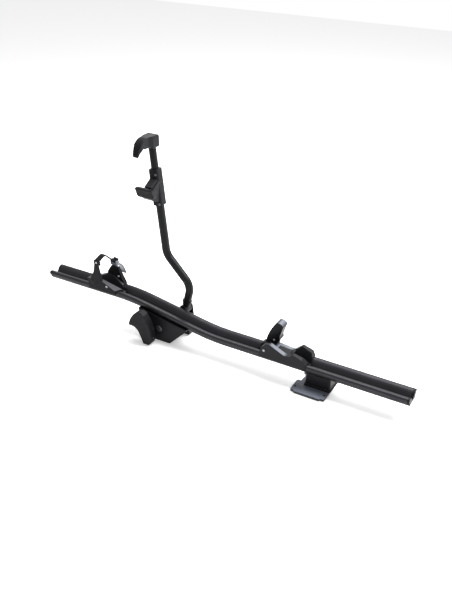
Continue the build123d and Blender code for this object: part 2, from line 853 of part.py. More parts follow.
# Rear foot: a moulded tower on a plate with ears, over a rubber pad
plate_low = rear_pad_thickness
plate_high = plate_low + rear_plate_thickness
block_mid_x = (rear_block_front_x + rear_block_rear_x) / 2
block_length = rear_block_rear_x - rear_block_front_x
plate_mid_x = (rear_plate_front_x + rear_plate_rear_x) / 2
plate_length = rear_plate_rear_x - rear_plate_front_x
tongue_length = plate_length - 2 * rear_ear_depth
rear_bolt_xs = (block_mid_x - rear_bolt_spacing / 2, block_mid_x + rear_bolt_spacing / 2)
rear_screw_y = rear_block_half_width - foot_wall / 2
rear_screw_places = [(block_mid_x + side * rear_screw_spacing_x / 2, row * rear_screw_y)
                     for side in (-1, 1) for row in (-1, 1)]
rear_screws = [Plane(origin=(x, y, plate_low), x_dir=(1, 0, 0), z_dir=(0, 0, -1)) for x, y in rear_screw_places]
with BuildPart() as rear_foot_block:
    with BuildSketch(Plane.XY.offset(plate_high)):
        with Locations((block_mid_x, 0)):
            RectangleRounded(block_length + rear_block_flare, 2 * rear_block_half_width + rear_block_flare,
                             rear_block_flare)
    extrude(amount=rear_block_foot)
    with BuildSketch(Plane.XY.offset(plate_high)):
        with Locations((block_mid_x, 0)):
            RectangleRounded(block_length, 2 * rear_block_half_width, rear_block_flare)
    extrude(amount=rail_rear_height - plate_high)
    with BuildSketch(Plane.XY.offset(plate_high)):
        with Locations((block_mid_x, 0)):
            Rectangle(block_length - 2 * foot_wall, 2 * (rear_block_half_width - foot_wall))
            Rectangle(rear_rib_thickness, 2 * rear_block_half_width, mode=Mode.SUBTRACT)
    extrude(amount=rail_rear_height - plate_high - foot_roof, mode=Mode.SUBTRACT)
    for bolt_x in rear_bolt_xs:
        with BuildSketch(rail_plane(bolt_x)):
            Circle(slot_mouth / 2)
        extrude(amount=-foot_roof - overrun, mode=Mode.SUBTRACT)
    for plane in rear_screws:
        with BuildSketch(plane):
            Circle(small_screw_radius)
        extrude(amount=-rear_screw_length, mode=Mode.SUBTRACT)
save(rear_foot_block, "rear_foot_block")
save_group([rail_bolt(x, foot_roof) for x in rear_bolt_xs], "rear_rail_bolts")
save_group([rail_nut(x, foot_roof) for x in rear_bolt_xs], "rear_rail_nuts")


def plate_outline(inset=0):
    # Plate seen from above: a wide tongue with ears at its ends, apart from a waist
    ears = ((rear_ear_near_y, rear_ear_waist_near_y), (rear_ear_waist_far_y, rear_ear_far_y))
    with BuildSketch() as outline:
        with Locations((plate_mid_x, 0)):
            RectangleRounded(tongue_length - 2 * inset, 2 * (rear_plate_half_width - inset),
                             rear_plate_round / 2)
        for low_y, high_y in ears:
            with Locations((plate_mid_x, (low_y + high_y) / 2)):
                RectangleRounded(plate_length - 2 * inset, high_y - low_y - 2 * inset, rear_plate_round)
        with Locations((plate_mid_x, 0)):
            with GridLocations(rear_hole_spacing_x, rear_hole_spacing_y, 2, 2):
                Circle(rear_hole_radius, mode=Mode.SUBTRACT)
    return outline.sketch


with BuildPart() as rear_foot_plate:
    with BuildSketch(Plane.XY.offset(plate_low)):
        add(plate_outline())
        with Locations(*rear_screw_places):
            Circle(small_screw_radius, mode=Mode.SUBTRACT)
    extrude(amount=rear_plate_thickness)
save(rear_foot_plate, "rear_foot_plate")

with BuildPart() as rear_foot_pad:
    with BuildSketch():
        add(plate_outline(pad_thickness / 4))
        with Locations(*rear_screw_places):
            Circle(small_head_radius + slip_gap, mode=Mode.SUBTRACT)
    extrude(amount=rear_pad_thickness)
save(rear_foot_pad, "rear_foot_pad")
save_group([cap_screw(plane, rear_screw_length) for plane in rear_screws], "rear_plate_screws")


def chute_half(height):
    # Half width of the tyre's chute at a height above the rail's underside
    low = rail_floor + liner_floor
    share = (height - low) / (chute_knee_height - low)
    return chute_floor_half + share * (chute_knee_y - chute_floor_half)


def chute_sketch():
    # The chute's section, on the rail's own section axes
    low = rail_floor + liner_floor
    with BuildSketch() as chute:
        with BuildLine():
            Polyline((0, low), (chute_floor_half, low), (chute_knee_y, chute_knee_height),
                     (chute_top_y, chute_top_height), (0, chute_top_height), close=True)
        make_face()
        mirror(about=Plane.YZ)
    return chute.sketch


def screw_planes(places, inward):
    # Planes on an outer wall, facing away from the rail, for screws at (x, y, z)
    return [Plane(origin=place, x_dir=(1, 0, 0), z_dir=(0, -inward, 0)) for place in places]


# Front wheel holder: saddle over both lips, open along the tray
hook_z = rail_front_height + rail_height - lip_height - holder_hook
saddle_foot_z = rail_front_height + rail_height + saddle_foot
near_screws = screw_planes([(saddle_screw_x, -holder_half_width, saddle_screw_z)], 1)
brace_lean = radians(brace_screw_lean)
brace_y = chute_half(brace_screw_z - rail_front_height) + small_head_radius / 2
brace_plane = Plane(origin=(brace_screw_x, brace_y, brace_screw_z), x_dir=(1, 0, 0),
                    z_dir=(0, -sin(brace_lean), cos(brace_lean)))
with BuildPart() as front_saddle:
    # Near wall: flat under the post, then sloping down to the lip at its rear end
    with BuildSketch(side_plane(0)):
        Polygon((saddle_near_front_x, hook_z), (saddle_near_rear_x, hook_z), (saddle_near_rear_x, saddle_foot_z),
                (saddle_near_crest_x, saddle_near_z), (saddle_near_front_x, saddle_near_z), align=None)
    extrude(amount=holder_half_width)
    # Far wall: rising from its front end to the buttress's seat
    with BuildSketch(side_plane(0)):
        Polygon((saddle_front_x, hook_z), (saddle_rear_x, hook_z), (saddle_rear_x, saddle_foot_z),
                (seat_rear_x, seat_z), (seat_front_x, seat_z), (saddle_valley_x, saddle_valley_z),
                (saddle_front_x, saddle_foot_z), align=None)
    extrude(amount=-holder_half_width)
    # Filling of the tray's valley, which joins the two walls
    with BuildSketch(cross_plane(saddle_front_x, rail_front_height + rail_floor)):
        Rectangle(2 * rail_knee_y, rail_height - rail_floor, align=(Align.CENTER, Align.MIN))
    extrude(amount=saddle_near_rear_x - saddle_front_x)
    with BuildSketch(cross_plane(saddle_front_x - overrun, rail_front_height)):
        add(chute_sketch())
    extrude(amount=saddle_near_rear_x - saddle_front_x + 2 * overrun, mode=Mode.SUBTRACT)
    add(rail_space.part, mode=Mode.SUBTRACT)
    # Ledge that carries the post, with a tapering gusset under it
    with BuildSketch(side_plane(-holder_half_width)):
        Polygon((saddle_near_front_x, saddle_near_z - ledge_thickness),
                (saddle_near_crest_x, saddle_near_z - ledge_thickness), (saddle_near_crest_x, saddle_near_z),
                (saddle_near_front_x, saddle_near_z), align=None)
    extrude(amount=ledge_reach)
    with BuildSketch(side_plane(-holder_half_width)):
        Polygon((gusset_front_x, saddle_near_z), (gusset_rear_x, saddle_near_z), (gusset_tip_x, gusset_tip_z),
                align=None)
    extrude(amount=ledge_reach, taper=gusset_taper)
    for plane in near_screws:
        with BuildSketch(plane):
            Circle(small_screw_radius)
        extrude(amount=-small_screw_length, mode=Mode.SUBTRACT)
    with BuildSketch(brace_plane):
        Circle(small_screw_radius)
    extrude(amount=-brace_screw_length, mode=Mode.SUBTRACT)
save(front_saddle, "front_saddle")

# The strap's own plane: local x crosses the tray and local y is up
turn = radians(strap_turn)
strap_plane = Plane(origin=(strap_x, 0, 0), x_dir=(sin(turn), cos(turn), 0), z_dir=(cos(turn), -sin(turn), 0))

# Strap post on the ledge: a braced column with a hood that grips the strap's end
post_y = -holder_half_width - ledge_reach
hood_depth = strap_thickness + 2 * hood_wall
strap_low_z = hood_low_z + hood_floor
rivet_z = hood_high_z - rivet_drop
rivet_place = strap_plane.from_local_coords((strap_near_t - hood_depth / 2, rivet_z, 0))
rivet_plane = Plane(origin=rivet_place, x_dir=strap_plane.z_dir, z_dir=-strap_plane.x_dir)
with BuildPart() as strap_post:
    with BuildSketch(side_plane(post_y + post_thickness)) as column:
        Polygon((post_foot_front_x, saddle_near_z), (post_foot_rear_x, saddle_near_z),
                (post_waist_rear_x, post_waist_z), (post_neck_rear_x, post_shoulder_z),
                (post_neck_rear_x, strap_low_z), (post_neck_front_x, strap_low_z),
                (post_shoulder_front_x, post_shoulder_z), (post_waist_front_x, post_waist_z),
                (post_toe_x, post_toe_z), align=None)
    extrude(amount=post_thickness)
    with BuildSketch(strap_plane):
        with Locations((strap_near_t, (hood_low_z + hood_high_z) / 2)):
            RectangleRounded(hood_depth, hood_high_z - hood_low_z, post_round)
    extrude(amount=strap_width / 2 + hood_wall, both=True)
    with BuildSketch(strap_plane):
        with Locations((strap_near_t, strap_low_z)):
            Rectangle(strap_thickness, hood_high_z, align=(Align.CENTER, Align.MIN))
        with Locations((strap_near_t, rivet_z)):
            Rectangle(hood_depth, hood_high_z, align=(Align.MIN, Align.MIN))
    extrude(amount=strap_width / 2, both=True, mode=Mode.SUBTRACT)
    with BuildSketch(rivet_plane):
        Circle(small_screw_radius)
    extrude(amount=-hood_wall - overrun, mode=Mode.SUBTRACT)
save(strap_post, "strap_post")

# Buttress on the far wall: a thick fin that leans out with the chute and carries the buckle
buckle_low_z = buttress_top_z
buckle_half = strap_width / 2 + moving_gap
buckle_back_t = strap_far_t - strap_thickness / 2 - moving_gap
buckle_side = buckle_half + buckle_wall
lug_screw = strap_plane.from_local_coords((buckle_back_t - buckle_wall + buckle_lug / 2,
                                           buckle_low_z + buckle_floor, buckle_side + buckle_lug / 2))
lug_screw_plane = Plane(origin=lug_screw)
with BuildPart() as strap_buttress:
    with BuildSketch(side_plane(holder_half_width)) as fin:
        Polygon((seat_front_x, seat_z), (seat_rear_x, seat_z), (saddle_rear_x, saddle_foot_z),
                (buttress_rear_top_x, buttress_top_z), (buttress_front_top_x, buttress_top_z),
                (seat_front_x, buttress_lug_z), align=None)
        lug = fin.vertices().sort_by_distance((seat_front_x, buttress_lug_z))[0]
        fillet(lug, buttress_round)
    extrude(amount=buttress_thickness)
    with BuildSketch(cross_plane(seat_front_x - overrun, rail_front_height)):
        add(chute_sketch())
    extrude(amount=saddle_rear_x - seat_front_x + 2 * overrun, mode=Mode.SUBTRACT)
    with BuildSketch(lug_screw_plane):
        Circle(small_screw_radius)
    extrude(amount=-small_screw_length, mode=Mode.SUBTRACT)
    with BuildSketch(brace_plane):
        Circle(small_screw_radius)
    extrude(amount=-brace_screw_length, mode=Mode.SUBTRACT)
    with BuildSketch(brace_plane):
        Circle(small_head_radius + slip_gap)
    extrude(amount=brace_screw_length, mode=Mode.SUBTRACT)
save(strap_buttress, "strap_buttress")

# Strap over the wheel: out of the post's hood, over the tray and down into the buckle
tail_z = buckle_low_z + buckle_floor + moving_gap
strap_corners = [((strap_near_t, strap_near_z), strap_near_bend), ((strap_apex_t, strap_apex_z), strap_apex_bend),
                 ((strap_far_t, strap_far_z), strap_near_bend)]
with BuildLine() as strap_line:
    Polyline((strap_near_t, strap_low_z), *[corner for corner, bend in strap_corners], (strap_far_t, tail_z))
    for corner, bend in strap_corners:
        fillet(strap_line.vertices().sort_by_distance(corner)[0], bend)
with BuildPart() as wheel_strap:
    with BuildSketch(strap_plane):
        trace(lines=strap_line.line, line_width=strap_thickness)
    extrude(amount=strap_width / 2, both=True)
    with BuildSketch(rivet_plane.offset(-hood_wall)):
        Circle(small_screw_radius)
    extrude(amount=-strap_thickness, mode=Mode.SUBTRACT)
save(wheel_strap, "wheel_strap")

# Ratchet buckle at the strap's far end, screwed down to the buttress through a lug
buckle_high_z = buckle_low_z + buckle_height
buckle_front_t = buckle_back_t + buckle_reach
pin_places = [(buckle_lever_t, buckle_lever_z), (buckle_pawl_t, buckle_pawl_z)]
with BuildPart() as buckle_base:
    with BuildSketch(strap_plane):
        Polygon((buckle_back_t - buckle_wall, buckle_low_z), (buckle_front_t, buckle_low_z),
                (buckle_front_t + buckle_wall, buckle_lever_z), (buckle_front_t + buckle_wall, buckle_pawl_z),
                (buckle_front_t - buckle_wall, buckle_high_z), (buckle_back_t - buckle_wall, buckle_high_z),
                align=None)
    extrude(amount=buckle_side, both=True)
    with BuildSketch(strap_plane):
        with Locations((buckle_back_t, buckle_low_z + buckle_floor)):
            Rectangle(2 * buckle_reach, buckle_height, align=(Align.MIN, Align.MIN))
        with Locations((strap_far_t + strap_thickness, buckle_low_z)):
            Rectangle(2 * buckle_reach, buckle_floor, align=(Align.MIN, Align.MIN))
        with Locations((buckle_back_t, strap_far_z - strap_near_bend / 2)):
            Rectangle(2 * buckle_wall, buckle_height, align=(Align.MAX, Align.MIN))
    extrude(amount=buckle_half, both=True, mode=Mode.SUBTRACT)
    with BuildSketch(strap_plane.offset(buckle_side)):
        with Locations((buckle_back_t - buckle_wall, buckle_low_z)):
            Rectangle(buckle_lug, buckle_floor, align=(Align.MIN, Align.MIN))
    extrude(amount=buckle_lug)
    with BuildSketch(strap_plane):
        with Locations(*pin_places):
            Circle(buckle_pin_radius)
    extrude(amount=buckle_side + overrun, both=True, mode=Mode.SUBTRACT)
    with BuildSketch(lug_screw_plane):
        Circle(small_screw_radius)
    extrude(amount=-buckle_floor - overrun, mode=Mode.SUBTRACT)
save(buckle_base, "buckle_base")
save_group([extrude(strap_plane * Pos(*place) * Circle(buckle_pin_radius), amount=buckle_side, both=True)
            for place in pin_places], "buckle_pins")

lever_half = strap_width / 2 - moving_gap
with BuildPart() as buckle_lever:
    with BuildSketch(strap_plane):
        with BuildLine() as lever_line:
            ThreePointArc((buckle_lever_t, buckle_lever_z),
                          ((buckle_lever_t + buckle_tip_t) / 2 + buckle_lever_bow,
                           (buckle_lever_z + buckle_tip_z) / 2 + buckle_lever_bow),
                          (buckle_tip_t, buckle_tip_z))
        trace(lines=lever_line.line, line_width=buckle_lever_thickness)
        with Locations((buckle_lever_t, buckle_lever_z)):
            Circle(buckle_lever_radius)
        with Locations((buckle_tip_t, buckle_tip_z)):
            Circle(buckle_tip_radius)
    extrude(amount=lever_half, both=True)
    with BuildSketch(strap_plane):
        with Locations((buckle_lever_t, buckle_lever_z)):
            Circle(buckle_pin_radius + running_gap)
    extrude(amount=lever_half, both=True, mode=Mode.SUBTRACT)
save(buckle_lever, "buckle_lever")

with BuildPart() as buckle_pawl:
    with BuildSketch(strap_plane):
        with Locations((buckle_pawl_t, buckle_pawl_z)):
            Circle(buckle_pawl_radius)
        with Locations((buckle_pawl_t + buckle_tab / 2, buckle_pawl_z + buckle_tab / 2)):
            Rectangle(buckle_tab + buckle_pawl_radius, buckle_pawl_radius, rotation=45)
    extrude(amount=lever_half, both=True)
    with BuildSketch(strap_plane):
        with Locations((buckle_pawl_t, buckle_pawl_z)):
            Circle(buckle_pin_radius + running_gap)
    extrude(amount=lever_half, both=True, mode=Mode.SUBTRACT)
save(buckle_pawl, "buckle_pawl")

save_group([cap_screw(plane, small_screw_length) for plane in near_screws + [lug_screw_plane]]
           + [cap_screw(brace_plane, brace_screw_length), cap_screw(rivet_plane, hood_wall + strap_thickness)],
           "saddle_screws")

# Arm: frames along its two straight runs
low_run = Vector(arm_low_corner_x - pivot_x, 0, arm_low_corner_z - pivot_z).normalized()
low_plane = Plane(origin=(pivot_x, pivot_y, pivot_z), x_dir=(0, -1, 0), z_dir=low_run)
lean = radians(arm_lean)


def high_plane(z):
    # Plane across the arm's upper run at height z
    return Plane(origin=(arm_high_corner_x - (z - arm_high_corner_z) * tan(lean), pivot_y, z),
                 x_dir=(0, -1, 0), z_dir=(-sin(lean), 0, cos(lean)))


def run_length(low_z, high_z):
    return (high_z - low_z) / cos(lean)


tube_bore = tube_diameter / 2 - tube_wall
bore_fit = knob_shaft_diameter / 2 + running_gap
with BuildPart() as arm_hub:
    with BuildSketch(side_plane(hub_far_y)):
        with Locations((pivot_x, pivot_z)):
            Circle(hub_radius)
    extrude(amount=tube_diameter)
    with BuildSketch(low_plane):
        Circle(tube_diameter / 2)
    extrude(amount=socket_step)
    with BuildSketch(low_plane.offset(socket_start)):
        Circle(socket_radius)
    extrude(amount=socket_end - socket_start)
    with BuildSketch(low_plane.offset(socket_step)):
        Circle(tube_diameter / 2)
    extrude(amount=socket_end - socket_step, mode=Mode.SUBTRACT)
    with BuildSketch(low_plane.offset(socket_step)):
        Circle(tube_bore)
    extrude(amount=spigot_end - socket_step)
    with BuildSketch(low_plane.offset(-hub_radius - overrun)):
        Circle(bore_fit)
    extrude(amount=hub_radius + spigot_end + 2 * overrun, mode=Mode.SUBTRACT)
    for face_y, inward in ((hub_far_y, 1), (hub_near_y, -1)):
        with BuildSketch(side_plane(face_y)):
            with Locations((pivot_x, pivot_z)):
                Circle(pivot_journal_radius + running_gap)
        extrude(amount=inward * (pivot_engagement + moving_gap), mode=Mode.SUBTRACT)
save(arm_hub, "arm_hub")

tube_start = low_plane.offset(socket_step)
with BuildLine() as tube_path:
    FilletPolyline(tube_start.origin, (arm_low_corner_x, pivot_y, arm_low_corner_z),
                   (arm_high_corner_x, pivot_y, arm_high_corner_z), high_plane(arm_tube_top_z).origin,
                   radius=arm_bend_radius)
with BuildPart() as arm_tube:
    with BuildSketch(tube_start):
        Circle(tube_diameter / 2)
        Circle(tube_bore, mode=Mode.SUBTRACT)
    sweep(path=tube_path.line)
save(arm_tube, "arm_tube")

# Jaw drive: knob and its shaft, the drive through the bends, bearing and lead screw
drive_start = low_plane.offset(spigot_end + moving_gap)
with BuildLine() as drive_path:
    FilletPolyline(drive_start.origin, (arm_low_corner_x, pivot_y, arm_low_corner_z),
                   (arm_high_corner_x, pivot_y, arm_high_corner_z), high_plane(drive_top_z).origin,
                   radius=arm_bend_radius)
with BuildPart() as flex_drive:
    with BuildSketch(drive_start):
        Circle(drive_diameter / 2)
    sweep(path=drive_path.line)
save(flex_drive, "flex_drive")

with BuildPart() as torque_knob:
    with BuildSketch(low_plane.offset(-knob_far)):
        Circle(knob_diameter / 2)
        with PolarLocations(knob_diameter / 2 + knob_flute_radius / 2, knob_flutes):
            Circle(knob_flute_radius, mode=Mode.SUBTRACT)
    extrude(amount=knob_far - knob_near)
    with BuildSketch(low_plane.offset(-knob_far)):
        Circle(knob_shaft_diameter / 2)
    extrude(amount=knob_far - knob_near, mode=Mode.SUBTRACT)
save(torque_knob, "torque_knob")

with BuildPart() as knob_shaft:
    with BuildSketch(low_plane.offset(-knob_far)):
        Circle(knob_shaft_diameter / 2)
    extrude(amount=knob_far + spigot_end)
save(knob_shaft, "knob_shaft")

bearing_low_z = bearing_z - bearing_length / 2
with BuildPart() as screw_bearing:
    with BuildSketch(high_plane(bearing_low_z)):
        Circle(tube_bore)
        Circle(screw_journal_diameter / 2 + running_gap, mode=Mode.SUBTRACT)
    extrude(amount=run_length(0, bearing_length))
save(screw_bearing, "screw_bearing")

with BuildPart() as lead_screw:
    with BuildSketch(high_plane(screw_journal_z)):
        Circle(screw_journal_diameter / 2)
    extrude(amount=run_length(screw_journal_z, screw_low_z))
    with BuildSketch(high_plane(screw_low_z)):
        Circle(screw_diameter / 2)
    extrude(amount=run_length(screw_low_z, screw_top_z))
save(lead_screw, "lead_screw")

inner_radius = tube_bore - running_gap
with BuildPart() as inner_tube:
    with BuildSketch(high_plane(inner_tube_bottom_z)):
        Circle(inner_radius)
        Circle(inner_radius - inner_tube_wall, mode=Mode.SUBTRACT)
    extrude(amount=run_length(inner_tube_bottom_z, inner_tube_top_z))
save(inner_tube, "inner_tube")

with BuildPart() as drive_nut:
    with BuildSketch(high_plane(inner_tube_bottom_z + nut_gap)):
        Circle(inner_radius - inner_tube_wall)
        Circle(screw_diameter / 2 + running_gap, mode=Mode.SUBTRACT)
    extrude(amount=run_length(0, nut_length))
save(drive_nut, "drive_nut")

# Lower jaw: a sleeve clamped on the tube, with a lipped cradle reaching over the rail
sleeve_near_y = pivot_y - sleeve_depth / 2
sleeve_screws = [Plane(origin=(high_plane(z).origin.X + side * sleeve_width / 3, sleeve_near_y, z),
                       x_dir=(1, 0, 0), z_dir=(0, -1, 0)) for side, z in ((1, sleeve_bottom_z + sleeve_round),
                                                                         (1, sleeve_top_z - sleeve_cap))]
with BuildPart() as jaw_lip:
    with BuildSketch(cross_plane(jaw_x - jaw_lip_width / 2)):
        Polygon((jaw_nose_y, jaw_nose_z), (jaw_lip_y, jaw_lip_z), (jaw_lip_y + jaw_lip_thickness, jaw_lip_z),
                (jaw_back_y, jaw_nose_z - pad_tongue), (jaw_back_y, jaw_belly_z), (jaw_chin_y, jaw_chin_z),
                (jaw_lip_y, (jaw_chin_z + jaw_lip_z) / 2), align=None)
    extrude(amount=jaw_lip_width)
    with BuildSketch(side_plane(jaw_back_y)):
        with Locations((jaw_x, jaw_lip_z)):
            RectangleRounded(jaw_lip_width, 2 * (jaw_lip_z - jaw_chin_z + jaw_pad_end), jaw_lip_round)
    extrude(amount=jaw_back_y - jaw_nose_y + overrun, mode=Mode.INTERSECT)
with BuildPart() as lower_jaw:
    with BuildSketch(cross_plane(jaw_x - jaw_neck_width / 2)):
        Polygon((jaw_lip_y + jaw_lip_thickness, jaw_lip_z), (jaw_ramp_foot_y, jaw_ramp_foot_z),
                (sleeve_near_y, jaw_ramp_top_z), (pivot_y, jaw_ramp_top_z), (pivot_y, jaw_root_z),
                (sleeve_near_y, jaw_root_z), (jaw_belly_y, jaw_belly_z), (jaw_chin_y, jaw_chin_z), align=None)
    extrude(amount=jaw_neck_width)
    add(jaw_lip.part)
    with BuildSketch(high_plane(sleeve_bottom_z)):
        RectangleRounded(sleeve_depth, sleeve_width, sleeve_round)
    extrude(amount=run_length(sleeve_bottom_z, sleeve_top_z))
    with BuildSketch(high_plane(sleeve_bottom_z)):
        Circle(tube_diameter / 2)
    extrude(amount=run_length(sleeve_bottom_z, arm_tube_top_z), mode=Mode.SUBTRACT)
    with BuildSketch(high_plane(arm_tube_top_z)):
        Circle(inner_radius + running_gap)
    extrude(amount=run_length(arm_tube_top_z, sleeve_top_z) + overrun, mode=Mode.SUBTRACT)
    for plane in sleeve_screws:
        with BuildSketch(plane):
            Circle(small_screw_radius)
        extrude(amount=-sleeve_screw_length, mode=Mode.SUBTRACT)
save(lower_jaw, "lower_jaw")
save_group([cap_screw(plane, sleeve_screw_length) for plane in sleeve_screws], "jaw_sleeve_screws")

with BuildPart() as lower_jaw_pad:
    with BuildSketch(cross_plane(jaw_x - jaw_pad_width / 2)):
        with BuildLine():
            ramp = Line((jaw_ramp_foot_y, jaw_ramp_foot_z), (sleeve_near_y, jaw_ramp_top_z))
            Polyline(ramp @ 1, ramp @ 1 + Vector(0, jaw_pad_thickness),
                     ramp @ 0 + Vector(-jaw_pad_end, jaw_pad_thickness), ramp @ 0)
        make_face()
    extrude(amount=jaw_pad_width)
save(lower_jaw_pad, "lower_jaw_pad")

# Upper jaw: a domed head on the inner tube, hooking down over the frame tube
head_screw_z = head_top_z - head_screw_drop
head_mid_x = high_plane(head_screw_z).origin.X
head_screws = [Plane(origin=(head_mid_x + side * 2 * small_head_radius, head_back_y, head_screw_z),
                     x_dir=(1, 0, 0), z_dir=(0, 1, 0)) for side in (-1, 1)]
beak_mid_y = (beak_tip_y + beak_root_y) / 2
with BuildPart() as upper_jaw:
    with BuildSketch(cross_plane(head_x - head_width / 2)):
        with BuildLine():
            crown = Line((head_back_y - head_shoulder, head_top_z), (crown_y, head_top_z + crown_rise))
            brow = ThreePointArc(crown @ 1, (beak_brow_y, head_top_z - beak_brow_drop),
                                 (beak_tip_y, beak_tip_z + beak_tip_rise))
            tip = Polyline(brow @ 1, (beak_tip_y + beak_tip_rise / 2, beak_tip_z),
                           (beak_tip_y + beak_tip_rise, beak_tip_z + beak_tip_rise / 2))
            throat = ThreePointArc(tip @ 1, (throat_bend_y, head_top_z - throat_bend_drop),
                                   (beak_root_y, throat_roof_z))
            roof = Line(throat @ 1, (throat_rear_y, throat_roof_z - crown_rise))
            heel = ThreePointArc(roof @ 1, (heel_y, head_bottom_z + heel_rise), (heel_end_y, head_bottom_z))
            Polyline(heel @ 1, (head_back_y, head_bottom_z), (head_back_y, head_top_z - head_shoulder),
                     (head_back_y - head_shoulder, head_top_z))
        make_face()
    extrude(amount=head_width)
    # The beak narrows toward its tip
    with BuildSketch(Plane.XY.offset(head_top_z + head_width)):
        Polygon((head_x - head_width / 2, head_back_y), (head_x - head_width / 2, heel_end_y),
                (head_x - beak_width / 2, throat_rear_y - head_shoulder), (head_x - beak_width / 2, beak_mid_y),
                (head_x - beak_tip_width / 2, beak_tip_y), (head_x + beak_tip_width / 2, beak_tip_y),
                (head_x + beak_width / 2, beak_mid_y), (head_x + beak_width / 2, throat_rear_y - head_shoulder),
                (head_x + head_width / 2, heel_end_y), (head_x + head_width / 2, head_back_y), align=None)
    extrude(amount=-3 * head_width, mode=Mode.INTERSECT)
    with BuildSketch(high_plane(head_bottom_z - head_width)):
        Circle(inner_radius)
    extrude(amount=run_length(head_bottom_z - head_width, inner_tube_top_z), mode=Mode.SUBTRACT)
    for plane in head_screws:
        with BuildSketch(plane):
            Circle(small_screw_radius)
        extrude(amount=-sleeve_screw_length, mode=Mode.SUBTRACT)
save(upper_jaw, "upper_jaw")
save_group([cap_screw(plane, sleeve_screw_length) for plane in head_screws], "upper_jaw_screws")

with BuildPart() as upper_jaw_pad:
    with BuildSketch(cross_plane(head_x - jaw_pad_width / 2)):
        with BuildLine():
            roof = Line((beak_root_y, throat_roof_z), (throat_rear_y, throat_roof_z - crown_rise))
            Polyline(roof @ 1, roof @ 1 - Vector(0, head_pad_thickness), roof @ 0 - Vector(0, head_pad_thickness),
                     roof @ 0)
        make_face()
    extrude(amount=jaw_pad_width)
save(upper_jaw_pad, "upper_jaw_pad")

# Rear wheel holder: cradle over both lips
cradle_hook_z = rail_rear_height + rail_height - lip_height - holder_hook
cradle_foot_z = rail_rear_height + rail_height + cradle_foot


def scoop_point(x, radius=scoop_radius):
    # Point of the scooped floor in side view, or of a circle about the same centre
    rise = scoop_radius - (radius**2 - (x - scoop_x)**2)**0.5
    return (x, scoop_z + rise)


cradle_screws = screw_planes([(cradle_screw_x, -holder_half_width, cradle_screw_z),
                              (horn_screw_x, horn_near_y, horn_screw_z)], 1)
with BuildPart() as rear_saddle:
    # Near wall: a high front cheek, a valley and a rear crest
    with BuildSketch(side_plane(0)):
        Polygon((cradle_near_front_x, cradle_hook_z), (cradle_rear_x, cradle_hook_z),
                (cradle_rear_x, cradle_foot_z), (near_tail_x, near_tail_z), (near_crest_x, near_crest_z),
                (near_valley_rear_x, near_valley_z), (near_valley_front_x, near_valley_z),
                (near_dip_x, near_dip_z), (near_cheek_x, near_cheek_z), (near_brow_x, near_brow_z),
                (near_toe_x, near_toe_z), (cradle_near_front_x, cradle_foot_z), align=None)
    extrude(amount=holder_half_width)
    # Far wall: a low rim and a pointed paddle
    with BuildSketch(side_plane(0)):
        Polygon((cradle_front_x, cradle_hook_z), (cradle_rear_x, cradle_hook_z), (cradle_rear_x, cradle_foot_z),
                (paddle_shoulder_x, paddle_shoulder_z), (paddle_x, paddle_z), (far_valley_x, far_valley_z),
                (far_heel_x, far_heel_z), (far_wall_x, far_wall_z), (cradle_front_x, cradle_foot_z), align=None)
    extrude(amount=-holder_half_width)
    # Filling of the tray's valley, which joins the two walls
    with BuildSketch(cross_plane(cradle_front_x, rail_rear_height + rail_floor)):
        Rectangle(2 * rail_knee_y, rail_height - rail_floor, align=(Align.CENTER, Align.MIN))
    extrude(amount=cradle_rear_x - cradle_front_x)
    # Scooped floor for the tyre, and the V behind it
    with BuildSketch(side_plane(scoop_far_y)):
        with BuildLine():
            scoop = ThreePointArc(scoop_point(scoop_front_x), (scoop_x, scoop_z), scoop_point(scoop_rear_x))
            Polyline(scoop @ 1, (scoop_rear_x, horn_top_z), (scoop_front_x, horn_top_z), scoop @ 0)
        make_face()
    extrude(amount=scoop_far_y - scoop_near_y, mode=Mode.SUBTRACT)
    with BuildSketch(cross_plane(scoop_rear_x - overrun, rail_rear_height)):
        add(chute_sketch())
    extrude(amount=cradle_rear_x - scoop_rear_x + 2 * overrun, mode=Mode.SUBTRACT)
    with BuildSketch(cross_plane(cradle_front_x - overrun, rail_rear_height)):
        add(chute_sketch())
    extrude(amount=scoop_front_x - cradle_front_x + overrun, mode=Mode.SUBTRACT)
    # Horn beside the tyre
    with BuildSketch(side_plane(horn_far_y)) as horn:
        with BuildLine():
            front = ThreePointArc((horn_base_x, far_wall_z), (horn_mid_x, horn_mid_z), (horn_top_x, horn_top_z))
            crown = ThreePointArc(front @ 1, (horn_crown_x, horn_crown_z), (horn_tip_x, horn_tip_z))
            Polyline(crown @ 1, (horn_notch_x, horn_notch_top_z),
                     (horn_notch_x + horn_notch_depth, horn_notch_low_z), (far_heel_x, far_heel_z),
                     (far_heel_x, cradle_foot_z), (horn_base_x, cradle_foot_z), front @ 0)
        make_face()
    extrude(amount=horn_far_y - horn_near_y)
    with BuildSketch(cross_plane(cradle_front_x - overrun, rail_rear_height)):
        add(rail_clearance.sketch)
    extrude(amount=cradle_rear_x - cradle_front_x + 2 * overrun, mode=Mode.SUBTRACT)
    for plane in cradle_screws:
        with BuildSketch(plane):
            Circle(small_screw_radius)
        extrude(amount=-small_screw_length, mode=Mode.SUBTRACT)
save(rear_saddle, "rear_saddle")
save_group([cap_screw(plane, small_screw_length) for plane in cradle_screws], "rear_saddle_screws")

